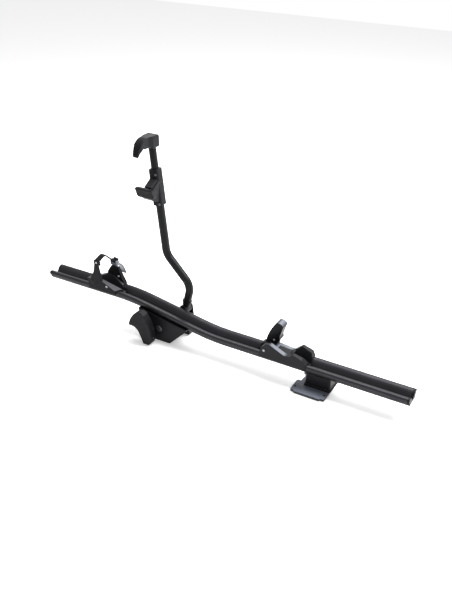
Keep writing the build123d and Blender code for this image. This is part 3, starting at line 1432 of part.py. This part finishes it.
# Rubber inlay that follows the scooped floor
inlay_radius = scoop_radius - cradle_pad_thickness
with BuildPart() as rear_saddle_pad:
    with BuildSketch(side_plane(scoop_far_y - cradle_pad_inset)):
        with BuildLine():
            under = ThreePointArc(scoop_point(cradle_pad_front_x), (scoop_x, scoop_z),
                                  scoop_point(cradle_pad_rear_x))
            over = ThreePointArc(scoop_point(cradle_pad_rear_x, inlay_radius),
                                 (scoop_x, scoop_z + cradle_pad_thickness),
                                 scoop_point(cradle_pad_front_x, inlay_radius))
            Line(under @ 1, over @ 0)
            Line(over @ 1, under @ 0)
        make_face()
    extrude(amount=scoop_far_y - scoop_near_y - 2 * cradle_pad_inset)
save(rear_saddle_pad, "rear_saddle_pad")
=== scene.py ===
# Roof mounted bike carrier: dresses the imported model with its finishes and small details.
# Metres, +X along the tray to its rear end, +Y to the arm's side, +Z up.
import bpy
import bmesh
import json
from math import cos, radians, sin
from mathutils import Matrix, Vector


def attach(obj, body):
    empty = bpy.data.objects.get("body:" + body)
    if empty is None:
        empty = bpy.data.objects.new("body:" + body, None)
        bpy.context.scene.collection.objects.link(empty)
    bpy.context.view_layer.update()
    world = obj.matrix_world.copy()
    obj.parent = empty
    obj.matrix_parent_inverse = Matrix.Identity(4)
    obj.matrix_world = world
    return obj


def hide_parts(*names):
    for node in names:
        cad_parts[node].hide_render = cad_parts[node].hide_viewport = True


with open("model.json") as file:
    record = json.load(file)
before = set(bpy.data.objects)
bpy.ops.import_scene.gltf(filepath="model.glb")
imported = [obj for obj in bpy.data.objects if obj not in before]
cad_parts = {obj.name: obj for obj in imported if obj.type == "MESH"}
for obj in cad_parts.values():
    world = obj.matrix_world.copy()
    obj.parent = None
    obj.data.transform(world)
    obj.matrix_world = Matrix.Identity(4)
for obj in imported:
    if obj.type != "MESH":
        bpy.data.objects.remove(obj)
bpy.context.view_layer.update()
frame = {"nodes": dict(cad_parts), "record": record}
print("frame loaded:", len(frame["nodes"]), "nodes")

nodes = frame["nodes"]
slotOf = {part["node"]: part["material_slot"] for part in frame["record"]["subparts"]}
bodyOf = {node: body for body, members in frame["record"]["behaviour"]["bodies"].items() for node in members}


# Studio: the photograph's camera, a wide softbox above, one behind and a white surround
studio = {
    "aim": (0.278, 0.0, 0.253),
    "azimuth": 30.3,
    "elevation": 30.1,
    "distance": 2.625,
    "lens": 47.06,
    "floorHeight": -0.0005,
    "floorSize": 12.0,
    "floorGlow": 0.36,
    "worldStrength": 0.55,
}
softboxes = {
    "overhead": {"place": (0.3, 0.7, 2.5), "size": (2.0, 1.2), "energy": 60.0},
    "behind": {"place": (-0.3, 2.4, 1.9), "size": (2.6, 1.0), "energy": 42.0},
    "rightAbove": {"place": (1.7, 1.0, 2.4), "size": (1.6, 1.6), "energy": 150.0},
}


def addCamera():
    az, el = radians(studio["azimuth"]), radians(studio["elevation"])
    back = Vector((sin(az) * cos(el), -cos(az) * cos(el), sin(el)))
    data = bpy.data.cameras.new("photoCamera")
    data.lens = studio["lens"]
    data.sensor_width = 36.0
    data.clip_end = 60.0
    camera = bpy.data.objects.new("photoCamera", data)
    camera.location = Vector(studio["aim"]) + back * studio["distance"]
    camera.rotation_euler = back.to_track_quat("Z", "Y").to_euler()
    bpy.context.scene.collection.objects.link(camera)
    bpy.context.scene.camera = camera


def addSoftbox(name):
    box = softboxes[name]
    data = bpy.data.lights.new(name, "AREA")
    data.shape = "RECTANGLE"
    data.size, data.size_y = box["size"]
    data.energy = box["energy"]
    lamp = bpy.data.objects.new(name, data)
    lamp.location = box["place"]
    toward = Vector(box["place"]) - Vector(studio["aim"])
    lamp.rotation_euler = toward.to_track_quat("Z", "Y").to_euler()
    bpy.context.scene.collection.objects.link(lamp)


def seenRays(tree):
    # 1 for what the camera, a reflection or glass sees, 0 for light that falls on the object
    path = tree.nodes.new("ShaderNodeLightPath")
    seen = path.outputs["Is Camera Ray"]
    for ray in ("Is Glossy Ray", "Is Transmission Ray"):
        either = tree.nodes.new("ShaderNodeMath")
        either.operation = "MAXIMUM"
        tree.links.new(seen, either.inputs[0])
        tree.links.new(path.outputs[ray], either.inputs[1])
        seen = either.outputs[0]
    return seen


def addWorld():
    world = bpy.data.worlds.new("studioWorld")
    bpy.context.scene.world = world
    world.use_nodes = True
    tree = world.node_tree
    tree.nodes.clear()
    out = tree.nodes.new("ShaderNodeOutputWorld")
    soft = tree.nodes.new("ShaderNodeBackground")
    soft.inputs["Strength"].default_value = studio["worldStrength"]
    white = tree.nodes.new("ShaderNodeBackground")
    white.inputs["Strength"].default_value = 1.0
    for light in (soft, white):
        light.inputs["Color"].default_value = (1, 1, 1, 1)
    mix = tree.nodes.new("ShaderNodeMixShader")
    tree.links.new(seenRays(tree), mix.inputs["Fac"])
    tree.links.new(soft.outputs[0], mix.inputs[1])
    tree.links.new(white.outputs[0], mix.inputs[2])
    tree.links.new(mix.outputs[0], out.inputs["Surface"])


def addFloor():
    half, z = studio["floorSize"] / 2, studio["floorHeight"]
    mesh = bpy.data.meshes.new("studioFloor")
    corners = [(-half, -half, z), (half, -half, z), (half, half, z), (-half, half, z)]
    mesh.from_pydata(corners, [], [(0, 1, 2, 3)])
    floor = bpy.data.objects.new("studioFloor", mesh)
    bpy.context.scene.collection.objects.link(floor)
    surface = bpy.data.materials.new("paleFloor")
    surface.use_nodes = True
    tree = surface.node_tree
    tree.nodes.clear()
    out = tree.nodes.new("ShaderNodeOutputMaterial")
    matt = tree.nodes.new("ShaderNodeBsdfDiffuse")
    matt.inputs["Color"].default_value = (0.9, 0.9, 0.9, 1)
    glow = tree.nodes.new("ShaderNodeEmission")
    glow.inputs["Strength"].default_value = studio["floorGlow"]
    lit = tree.nodes.new("ShaderNodeAddShader")
    mix = tree.nodes.new("ShaderNodeMixShader")
    tree.links.new(matt.outputs[0], lit.inputs[0])
    tree.links.new(glow.outputs[0], lit.inputs[1])
    tree.links.new(seenRays(tree), mix.inputs["Fac"])
    tree.links.new(matt.outputs[0], mix.inputs[1])
    tree.links.new(lit.outputs[0], mix.inputs[2])
    tree.links.new(mix.outputs[0], out.inputs["Surface"])
    mesh.materials.append(surface)


bpy.context.scene.view_settings.view_transform = "Standard"
addCamera()
addWorld()
addFloor()
for name in softboxes:
    addSoftbox(name)
print("studio set")


# What all the finishes share: bump height, the slow tint, and how far a face must turn up to carry the
# painted highlight
finishDetail = {
    "bumpDistance": 0.0004,
    "grainDetail": 3.0,
    "tintScale": 14.0,
    "tintDetail": 4.0,
    "upwardFrom": 0.35,
    "upwardTo": 0.95,
    "paleStartFade": 0.010,
    "paleEndFade": 0.012,
    "crownFade": 0.008,
}
# Finishes, one for each material slot of the record and a few for single pieces
finishes = {
    "anodised": {"color": (0.016, 0.016, 0.019), "metallic": 0.5, "specular": 0.25,
                 "roughness": 0.36, "spread": 0.10,
                 "grainScale": (3.0, 700.0, 700.0), "bump": 0.05, "tint": 0.35},
    "tube": {"color": (0.0055, 0.0055, 0.0063), "metallic": 0.0, "specular": 0.12,
             "roughness": 0.38, "spread": 0.08,
             "grainScale": (420.0, 420.0, 420.0), "bump": 0.10, "tint": 0.25},
    "moulding": {"color": (0.0045, 0.0046, 0.0058), "metallic": 0.0, "specular": 0.10,
                 "roughness": 0.45, "spread": 0.10,
                 "grainScale": (900.0, 900.0, 900.0), "bump": 0.22, "tint": 0.25},
    "rubber": {"color": (0.008, 0.008, 0.009), "metallic": 0.0, "specular": 0.2,
               "roughness": 0.65, "spread": 0.10,
               "grainScale": (500.0, 500.0, 500.0), "bump": 0.20, "tint": 0.3},
    # The cradle, plate and holder finishes carry a painted highlight: a paler colour on their upward faces in
    # place of light falling from above
    "cradle": {"color": (0.0050, 0.0053, 0.0068), "metallic": 0.0, "specular": 0.12,
               "roughness": 0.42, "spread": 0.10,
               "grainScale": (900.0, 900.0, 900.0), "bump": 0.15, "tint": 0.25,
               "paintedHighlight": (0.130, 0.139, 0.163),
               "paleFrom": 0.466, "paleTo": 0.532, "crownHeight": 0.185},
    "plate": {"color": (0.016, 0.018, 0.024), "metallic": 0.0, "specular": 0.2,
              "roughness": 0.50, "spread": 0.10,
              "grainScale": (900.0, 900.0, 900.0), "bump": 0.15, "tint": 0.25,
              "paintedHighlight": (0.115, 0.125, 0.155)},
    "holder": {"color": (0.0045, 0.0046, 0.0058), "metallic": 0.0, "specular": 0.10,
               "roughness": 0.45, "spread": 0.10,
               "grainScale": (900.0, 900.0, 900.0), "bump": 0.22, "tint": 0.25,
               "paintedHighlight": (0.055, 0.055, 0.062)},
    "darkSteel": {"color": (0.11, 0.11, 0.12), "metallic": 1.0, "specular": 0.5,
                  "roughness": 0.35, "spread": 0.12,
                  "grainScale": (350.0, 350.0, 350.0), "bump": 0.05, "tint": 0.2},
    "buckle": {"color": (0.090, 0.098, 0.115), "metallic": 0.5, "specular": 0.4,
               "roughness": 0.40, "spread": 0.12,
               "grainScale": (600.0, 600.0, 600.0), "bump": 0.12, "tint": 0.25},
    "steel": {"color": (0.42, 0.42, 0.44), "metallic": 1.0, "specular": 0.5,
              "roughness": 0.30, "spread": 0.12,
              "grainScale": (350.0, 350.0, 350.0), "bump": 0.05, "tint": 0.2},
    "bronze": {"color": (0.42, 0.29, 0.13), "metallic": 1.0, "specular": 0.5,
               "roughness": 0.32, "spread": 0.12,
               "grainScale": (350.0, 350.0, 350.0), "bump": 0.05, "tint": 0.2},
}


def makeFinish(name):
    look = finishes[name]
    material = bpy.data.materials.new(name + "Finish")
    material.use_nodes = True
    tree = material.node_tree
    shader = tree.nodes["Principled BSDF"]
    shader.inputs["Metallic"].default_value = look["metallic"]
    shader.inputs["Specular IOR Level"].default_value = look["specular"]
    coords = tree.nodes.new("ShaderNodeTexCoord")
    mapping = tree.nodes.new("ShaderNodeMapping")
    mapping.inputs["Scale"].default_value = look["grainScale"]
    grain = tree.nodes.new("ShaderNodeTexNoise")
    grain.inputs["Scale"].default_value = 1.0
    grain.inputs["Detail"].default_value = finishDetail["grainDetail"]
    cloud = tree.nodes.new("ShaderNodeTexNoise")
    cloud.inputs["Scale"].default_value = finishDetail["tintScale"]
    cloud.inputs["Detail"].default_value = finishDetail["tintDetail"]
    rough = tree.nodes.new("ShaderNodeMapRange")
    rough.inputs["To Min"].default_value = look["roughness"] - look["spread"] / 2
    rough.inputs["To Max"].default_value = look["roughness"] + look["spread"] / 2
    shade = tree.nodes.new("ShaderNodeMix")
    shade.data_type = "RGBA"
    dark = tuple(c * (1 - look["tint"]) for c in look["color"]) + (1,)
    light = tuple(c * (1 + look["tint"]) for c in look["color"]) + (1,)
    shade.inputs["A"].default_value = dark
    shade.inputs["B"].default_value = light
    bump = tree.nodes.new("ShaderNodeBump")
    bump.inputs["Strength"].default_value = look["bump"]
    bump.inputs["Distance"].default_value = finishDetail["bumpDistance"]
    link = tree.links.new
    link(coords.outputs["Object"], mapping.inputs["Vector"])
    link(coords.outputs["Object"], cloud.inputs["Vector"])
    link(mapping.outputs["Vector"], grain.inputs["Vector"])
    link(grain.outputs["Fac"], rough.inputs["Value"])
    link(rough.outputs["Result"], shader.inputs["Roughness"])
    link(cloud.outputs["Fac"], shade.inputs["Factor"])
    if "paintedHighlight" in look:
        # Paler upper faces stand in for the highlights that the photograph shows there
        facing = tree.nodes.new("ShaderNodeSeparateXYZ")
        upward = tree.nodes.new("ShaderNodeMapRange")
        upward.inputs["From Min"].default_value = finishDetail["upwardFrom"]
        upward.inputs["From Max"].default_value = finishDetail["upwardTo"]
        pale = tree.nodes.new("ShaderNodeMix")
        pale.data_type = "RGBA"
        pale.inputs["B"].default_value = look["paintedHighlight"] + (1,)
        link(coords.outputs["Normal"], facing.inputs["Vector"])
        link(facing.outputs["Z"], upward.inputs["Value"])
        reach = upward.outputs["Result"]
        if "paleFrom" in look:
            # Only the scoop between two places along the tray, and the horn's crown, get the painted
            # highlight
            place = tree.nodes.new("ShaderNodeSeparateXYZ")
            link(coords.outputs["Object"], place.inputs["Vector"])
            edges = []
            for axis, low, high in (("X", look["paleFrom"], look["paleFrom"] + finishDetail["paleStartFade"]),
                                    ("X", look["paleTo"], look["paleTo"] - finishDetail["paleEndFade"]),
                                    ("Z", look["crownHeight"],
                                         look["crownHeight"] + finishDetail["crownFade"])):
                edge = tree.nodes.new("ShaderNodeMapRange")
                edge.inputs["From Min"].default_value = low
                edge.inputs["From Max"].default_value = high
                link(place.outputs[axis], edge.inputs["Value"])
                edges.append(edge.outputs["Result"])
            for operation, other in (("MULTIPLY", edges[1]), ("MAXIMUM", edges[2]), ("MULTIPLY", reach)):
                step = tree.nodes.new("ShaderNodeMath")
                step.operation = operation
                link(edges[0], step.inputs[0])
                link(other, step.inputs[1])
                edges[0] = step.outputs[0]
            reach = edges[0]
        link(reach, pale.inputs["Factor"])
        link(shade.outputs["Result"], pale.inputs["A"])
        shade = pale
    link(shade.outputs["Result"], shader.inputs["Base Color"])
    link(grain.outputs["Fac"], bump.inputs["Height"])
    link(bump.outputs["Normal"], shader.inputs["Normal"])
    return material


materials = {name: makeFinish(name) for name in finishes}
darkScrews = ("jaw_sleeve_screws", "lock_bezel")
for name, node in nodes.items():
    if not node.material_slots:
        node.data.materials.append(None)
    for slot in node.material_slots:
        slot.material = materials["darkSteel" if name in darkScrews else slotOf[name]]


def finished(mesh, name, finish, body, replaced=()):
    mesh.materials.clear()
    mesh.materials.append(materials[finish])
    for face in mesh.polygons:
        face.use_smooth = True
        face.material_index = 0
    piece = bpy.data.objects.new(name, mesh)
    bpy.context.scene.collection.objects.link(piece)
    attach(piece, body)
    if replaced:
        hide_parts(*replaced)
    return piece


mergeDistance = 0.00001
smoothFactor = 0.5


def mergedCopy(node):
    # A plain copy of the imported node's mesh with its loose triangles joined
    mesh = nodes[node].data.copy()
    shape = bmesh.new()
    shape.from_mesh(mesh)
    bmesh.ops.remove_doubles(shape, verts=shape.verts, dist=mergeDistance)
    shape.to_mesh(mesh)
    shape.free()
    mesh.materials.clear()
    return mesh


def withModifiers(mesh, steps):
    # Runs the modifiers on a scratch object and gives the result as a plain mesh
    scratch = bpy.data.objects.new("scratch", mesh)
    bpy.context.scene.collection.objects.link(scratch)
    for kind, settings in steps:
        modifier = scratch.modifiers.new(kind.lower(), kind)
        for key, value in settings.items():
            setattr(modifier, key, value)
    graph = bpy.context.evaluated_depsgraph_get()
    result = bpy.data.meshes.new_from_object(scratch.evaluated_get(graph))
    bpy.data.objects.remove(scratch)
    return result


# Moulded plastic pieces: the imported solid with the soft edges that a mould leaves.
# voxel and rounding set the radius of the edges, keep the share of faces that stays.
mouldings = {
    "upper_jaw": {"piece": "upperJawShell", "voxel": 0.0010, "rounding": 12, "keep": 0.35},
    "lower_jaw": {"piece": "lowerJawShell", "voxel": 0.0010, "rounding": 6, "keep": 0.35},
    "clamp_lever": {"piece": "clampLeverShell", "voxel": 0.0010, "rounding": 10, "keep": 0.35},
    "torque_knob": {"piece": "torqueKnobShell", "voxel": 0.0007, "rounding": 3, "keep": 0.4},
    "front_saddle": {"piece": "frontSaddleShell", "voxel": 0.0012, "rounding": 3, "keep": 0.3},
    "strap_post": {"piece": "strapPostShell", "voxel": 0.0008, "rounding": 3, "keep": 0.4},
    "strap_buttress": {"piece": "strapButtressShell", "voxel": 0.0010, "rounding": 4, "keep": 0.35},
    "rear_saddle": {"piece": "rearSaddleShell", "voxel": 0.0012, "rounding": 4, "keep": 0.3},
    "front_foot_housing": {"piece": "frontFootShell", "voxel": 0.0012, "rounding": 4, "keep": 0.3},
    "rear_foot_block": {"piece": "rearFootShell", "voxel": 0.0012, "rounding": 4, "keep": 0.3},
    "rear_foot_plate": {"piece": "rearPlateShell", "voxel": 0.0010, "rounding": 4, "keep": 0.35},
    "buckle_base": {"piece": "buckleBaseShell", "voxel": 0.0006, "rounding": 2, "keep": 0.4},
    "buckle_lever": {"piece": "buckleLeverShell", "voxel": 0.0006, "rounding": 3, "keep": 0.4},
    "buckle_pawl": {"piece": "bucklePawlShell", "voxel": 0.0005, "rounding": 2, "keep": 0.4},
}
finishOf = {
    "rear_saddle": "cradle",
    "front_saddle": "holder",
    "buckle_lever": "buckle",
    "buckle_base": "buckle",
    "rear_foot_plate": "plate",
}


nearWall = {"nearerThan": -0.02, "behind": -0.19, "shorterBy": 0.014}


def shortenNearWall(mesh):
    # The front holder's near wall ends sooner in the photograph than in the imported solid
    for vertex in mesh.vertices:
        if vertex.co.y < nearWall["nearerThan"] and vertex.co.x > nearWall["behind"]:
            vertex.co.x -= nearWall["shorterBy"]


for node, shape in mouldings.items():
    mesh = mergedCopy(node)
    if node == "front_saddle":
        shortenNearWall(mesh)
    mesh = withModifiers(mesh, [
        ("REMESH", {"mode": "VOXEL", "voxel_size": shape["voxel"]}),
        ("SMOOTH", {"factor": smoothFactor, "iterations": shape["rounding"]}),
        ("DECIMATE", {"ratio": shape["keep"]}),
    ])
    finished(mesh, shape["piece"], finishOf.get(node, slotOf[node]), bodyOf[node], (node,))
print("moulded pieces made:", len(mouldings))


# Rubber pads: crowned, with soft edges
pads = {
    "front_foot_pad": {"piece": "frontFootCushion", "voxel": 0.0007, "rounding": 2},
    "rear_foot_pad": {"piece": "rearFootCushion", "voxel": 0.0010, "rounding": 8},
    "lower_jaw_pad": {"piece": "lowerJawCushion", "voxel": 0.0006, "rounding": 8},
    "upper_jaw_pad": {"piece": "upperJawCushion", "voxel": 0.0006, "rounding": 8},
    "rear_saddle_pad": {"piece": "rearSaddleCushion", "voxel": 0.0006, "rounding": 8},
}
padKeep = 0.4
for node, shape in pads.items():
    mesh = withModifiers(mergedCopy(node), [
        ("REMESH", {"mode": "VOXEL", "voxel_size": shape["voxel"]}),
        ("SMOOTH", {"factor": smoothFactor, "iterations": shape["rounding"]}),
        ("DECIMATE", {"ratio": padKeep}),
    ])
    piece = finished(mesh, shape["piece"], "rubber", bodyOf[node], (node,))
print("pads made:", len(pads))


# Ladder strap: a flat band in its own turned plane, with a row of ratchet teeth on its outer face
strap = {
    "origin": (-0.240, 0.0, 0.0),
    "turn": 10.0,
    "corners": [(-0.040, 0.250, 0.0), (-0.040, 0.261, 0.008), (-0.007, 0.2765, 0.016), (0.0405, 0.229, 0.008),
                (0.0405, 0.2163, 0.0)],
    "width": 0.026,
    "thickness": 0.0030,
    "edgeRound": 0.0008,
    "bendSteps": 10,
    "firstToothPoint": 6,
    "toothPitch": 0.0040,
    "toothHeight": 0.0016,
    "toothLength": 0.0018,
    "toothWidth": 0.020,
}


def strapPoint(t, z, across=0.0):
    turn = radians(strap["turn"])
    x, y, low = strap["origin"]
    return Vector((x + t * sin(turn) + across * cos(turn), y + t * cos(turn) - across * sin(turn), low + z))


def strapLine():
    # The band's middle line, with its bends rounded
    places = [Vector((t, z)) for t, z, bend in strap["corners"]]
    line = [places[0]]
    bends = [corner[2] for corner in strap["corners"][1:]]
    for before, corner, after, bend in zip(places, places[1:], places[2:], bends):
        back, ahead = (before - corner).normalized(), (after - corner).normalized()
        half = back.angle(ahead) / 2
        reach = bend / (sin(half) / cos(half))
        centre = corner + (back + ahead).normalized() * (bend / sin(half))
        start, end = corner + back * reach, corner + ahead * reach
        for step in range(strap["bendSteps"] + 1):
            spoke = (start - centre).lerp(end - centre, step / strap["bendSteps"]).normalized() * bend
            line.append(centre + spoke)
    line.append(places[-1])
    return line


def strapBand():
    line = strapLine()
    half, thick, edge = strap["width"] / 2, strap["thickness"] / 2, strap["edgeRound"]
    ring = [(-half, -thick + edge), (-half + edge, -thick), (half - edge, -thick), (half, -thick + edge),
            (half, thick - edge), (half - edge, thick), (-half + edge, thick), (-half, thick - edge)]
    shape = bmesh.new()
    rings = []
    for index, place in enumerate(line):
        ahead = line[min(index + 1, len(line) - 1)] - line[max(index - 1, 0)]
        out = Vector((ahead.y, -ahead.x)).normalized()
        rings.append([shape.verts.new(strapPoint(place.x + out.x * up, place.y + out.y * up, across))
                      for across, up in ring])
    count = len(ring)
    for first, second in zip(rings, rings[1:]):
        for corner in range(count):
            following = (corner + 1) % count
            shape.faces.new((first[corner], first[following], second[following], second[corner]))
    shape.faces.new(rings[0])
    shape.faces.new(list(reversed(rings[-1])))
    bmesh.ops.recalc_face_normals(shape, faces=shape.faces)
    mesh = bpy.data.meshes.new("strapBand")
    shape.to_mesh(mesh)
    shape.free()
    return mesh


toothInputs = {
    "Pitch": strap["toothPitch"],
    "Tooth Height": strap["toothHeight"],
    "Tooth Length": strap["toothLength"],
    "Tooth Width": strap["toothWidth"],
    "Lift": strap["thickness"] / 2,
}


def toothTree():
    tree = bpy.data.node_groups.new("strapTeeth", "GeometryNodeTree")
    tree.interface.new_socket("Geometry", in_out="INPUT", socket_type="NodeSocketGeometry")
    for label in toothInputs:
        tree.interface.new_socket(label, in_out="INPUT", socket_type="NodeSocketFloat")
    tree.interface.new_socket("Geometry", in_out="OUTPUT", socket_type="NodeSocketGeometry")
    source = tree.nodes.new("NodeGroupInput")
    sink = tree.nodes.new("NodeGroupOutput")
    link = tree.links.new
    curve = tree.nodes.new("GeometryNodeMeshToCurve")
    resample = tree.nodes.new("GeometryNodeResampleCurve")
    resample.mode = "LENGTH"
    tangent = tree.nodes.new("GeometryNodeInputTangent")
    normal = tree.nodes.new("GeometryNodeInputNamedAttribute")
    normal.data_type = "FLOAT_VECTOR"
    normal.inputs["Name"].default_value = "outward"
    tooth = tree.nodes.new("GeometryNodeMeshCube")
    size = tree.nodes.new("ShaderNodeCombineXYZ")
    alongAxis = tree.nodes.new("FunctionNodeAxesToRotation")
    alongAxis.primary_axis = "Z"
    alongAxis.secondary_axis = "X"
    place = tree.nodes.new("GeometryNodeInstanceOnPoints")
    lift = tree.nodes.new("GeometryNodeSetPosition")
    scale = tree.nodes.new("ShaderNodeVectorMath")
    scale.operation = "SCALE"
    realize = tree.nodes.new("GeometryNodeRealizeInstances")
    surface = tree.nodes.new("GeometryNodeSetMaterial")
    surface.inputs["Material"].default_value = materials["rubber"]
    link(source.outputs["Geometry"], curve.inputs[0])
    link(curve.outputs[0], resample.inputs["Curve"])
    link(source.outputs["Pitch"], resample.inputs["Length"])
    link(resample.outputs[0], lift.inputs["Geometry"])
    link(normal.outputs[0], scale.inputs[0])
    link(source.outputs["Lift"], scale.inputs["Scale"])
    link(scale.outputs[0], lift.inputs["Offset"])
    link(source.outputs["Tooth Length"], size.inputs[0])
    link(source.outputs["Tooth Width"], size.inputs[1])
    link(source.outputs["Tooth Height"], size.inputs[2])
    link(size.outputs[0], tooth.inputs["Size"])
    link(normal.outputs[0], alongAxis.inputs["Primary Axis"])
    link(tangent.outputs[0], alongAxis.inputs["Secondary Axis"])
    link(lift.outputs[0], place.inputs["Points"])
    link(tooth.outputs["Mesh"], place.inputs["Instance"])
    link(alongAxis.outputs[0], place.inputs["Rotation"])
    link(place.outputs[0], realize.inputs[0])
    link(realize.outputs[0], surface.inputs["Geometry"])
    link(surface.outputs[0], sink.inputs[0])
    return tree


def strapTeeth():
    line = strapLine()[strap["firstToothPoint"]:-1]
    path = bpy.data.meshes.new("toothPath")
    path.from_pydata([strapPoint(p.x, p.y) for p in line], [(i, i + 1) for i in range(len(line) - 1)], [])
    outward = path.attributes.new("outward", "FLOAT_VECTOR", "POINT")
    for index in range(len(line)):
        ahead = line[min(index + 1, len(line) - 1)] - line[max(index - 1, 0)]
        side = Vector((-ahead.y, ahead.x)).normalized()
        tip = strapPoint(side.x, side.y) - strapPoint(0, 0)
        outward.data[index].vector = tip
    scratch = bpy.data.objects.new("toothScratch", path)
    bpy.context.scene.collection.objects.link(scratch)
    modifier = scratch.modifiers.new("teeth", "NODES")
    modifier.node_group = toothTree()
    for item in modifier.node_group.interface.items_tree:
        if item.name in toothInputs:
            modifier[item.identifier] = toothInputs[item.name]
    graph = bpy.context.evaluated_depsgraph_get()
    mesh = bpy.data.meshes.new_from_object(scratch.evaluated_get(graph))
    bpy.data.objects.remove(scratch)
    return mesh


finished(strapBand(), "strapBand", "rubber", bodyOf["wheel_strap"], ("wheel_strap",))
teeth = finished(strapTeeth(), "strapTeeth", "rubber", bodyOf["wheel_strap"])
for face in teeth.data.polygons:
    face.use_smooth = False
print("strap made with", len(teeth.data.polygons) // 6, "teeth")
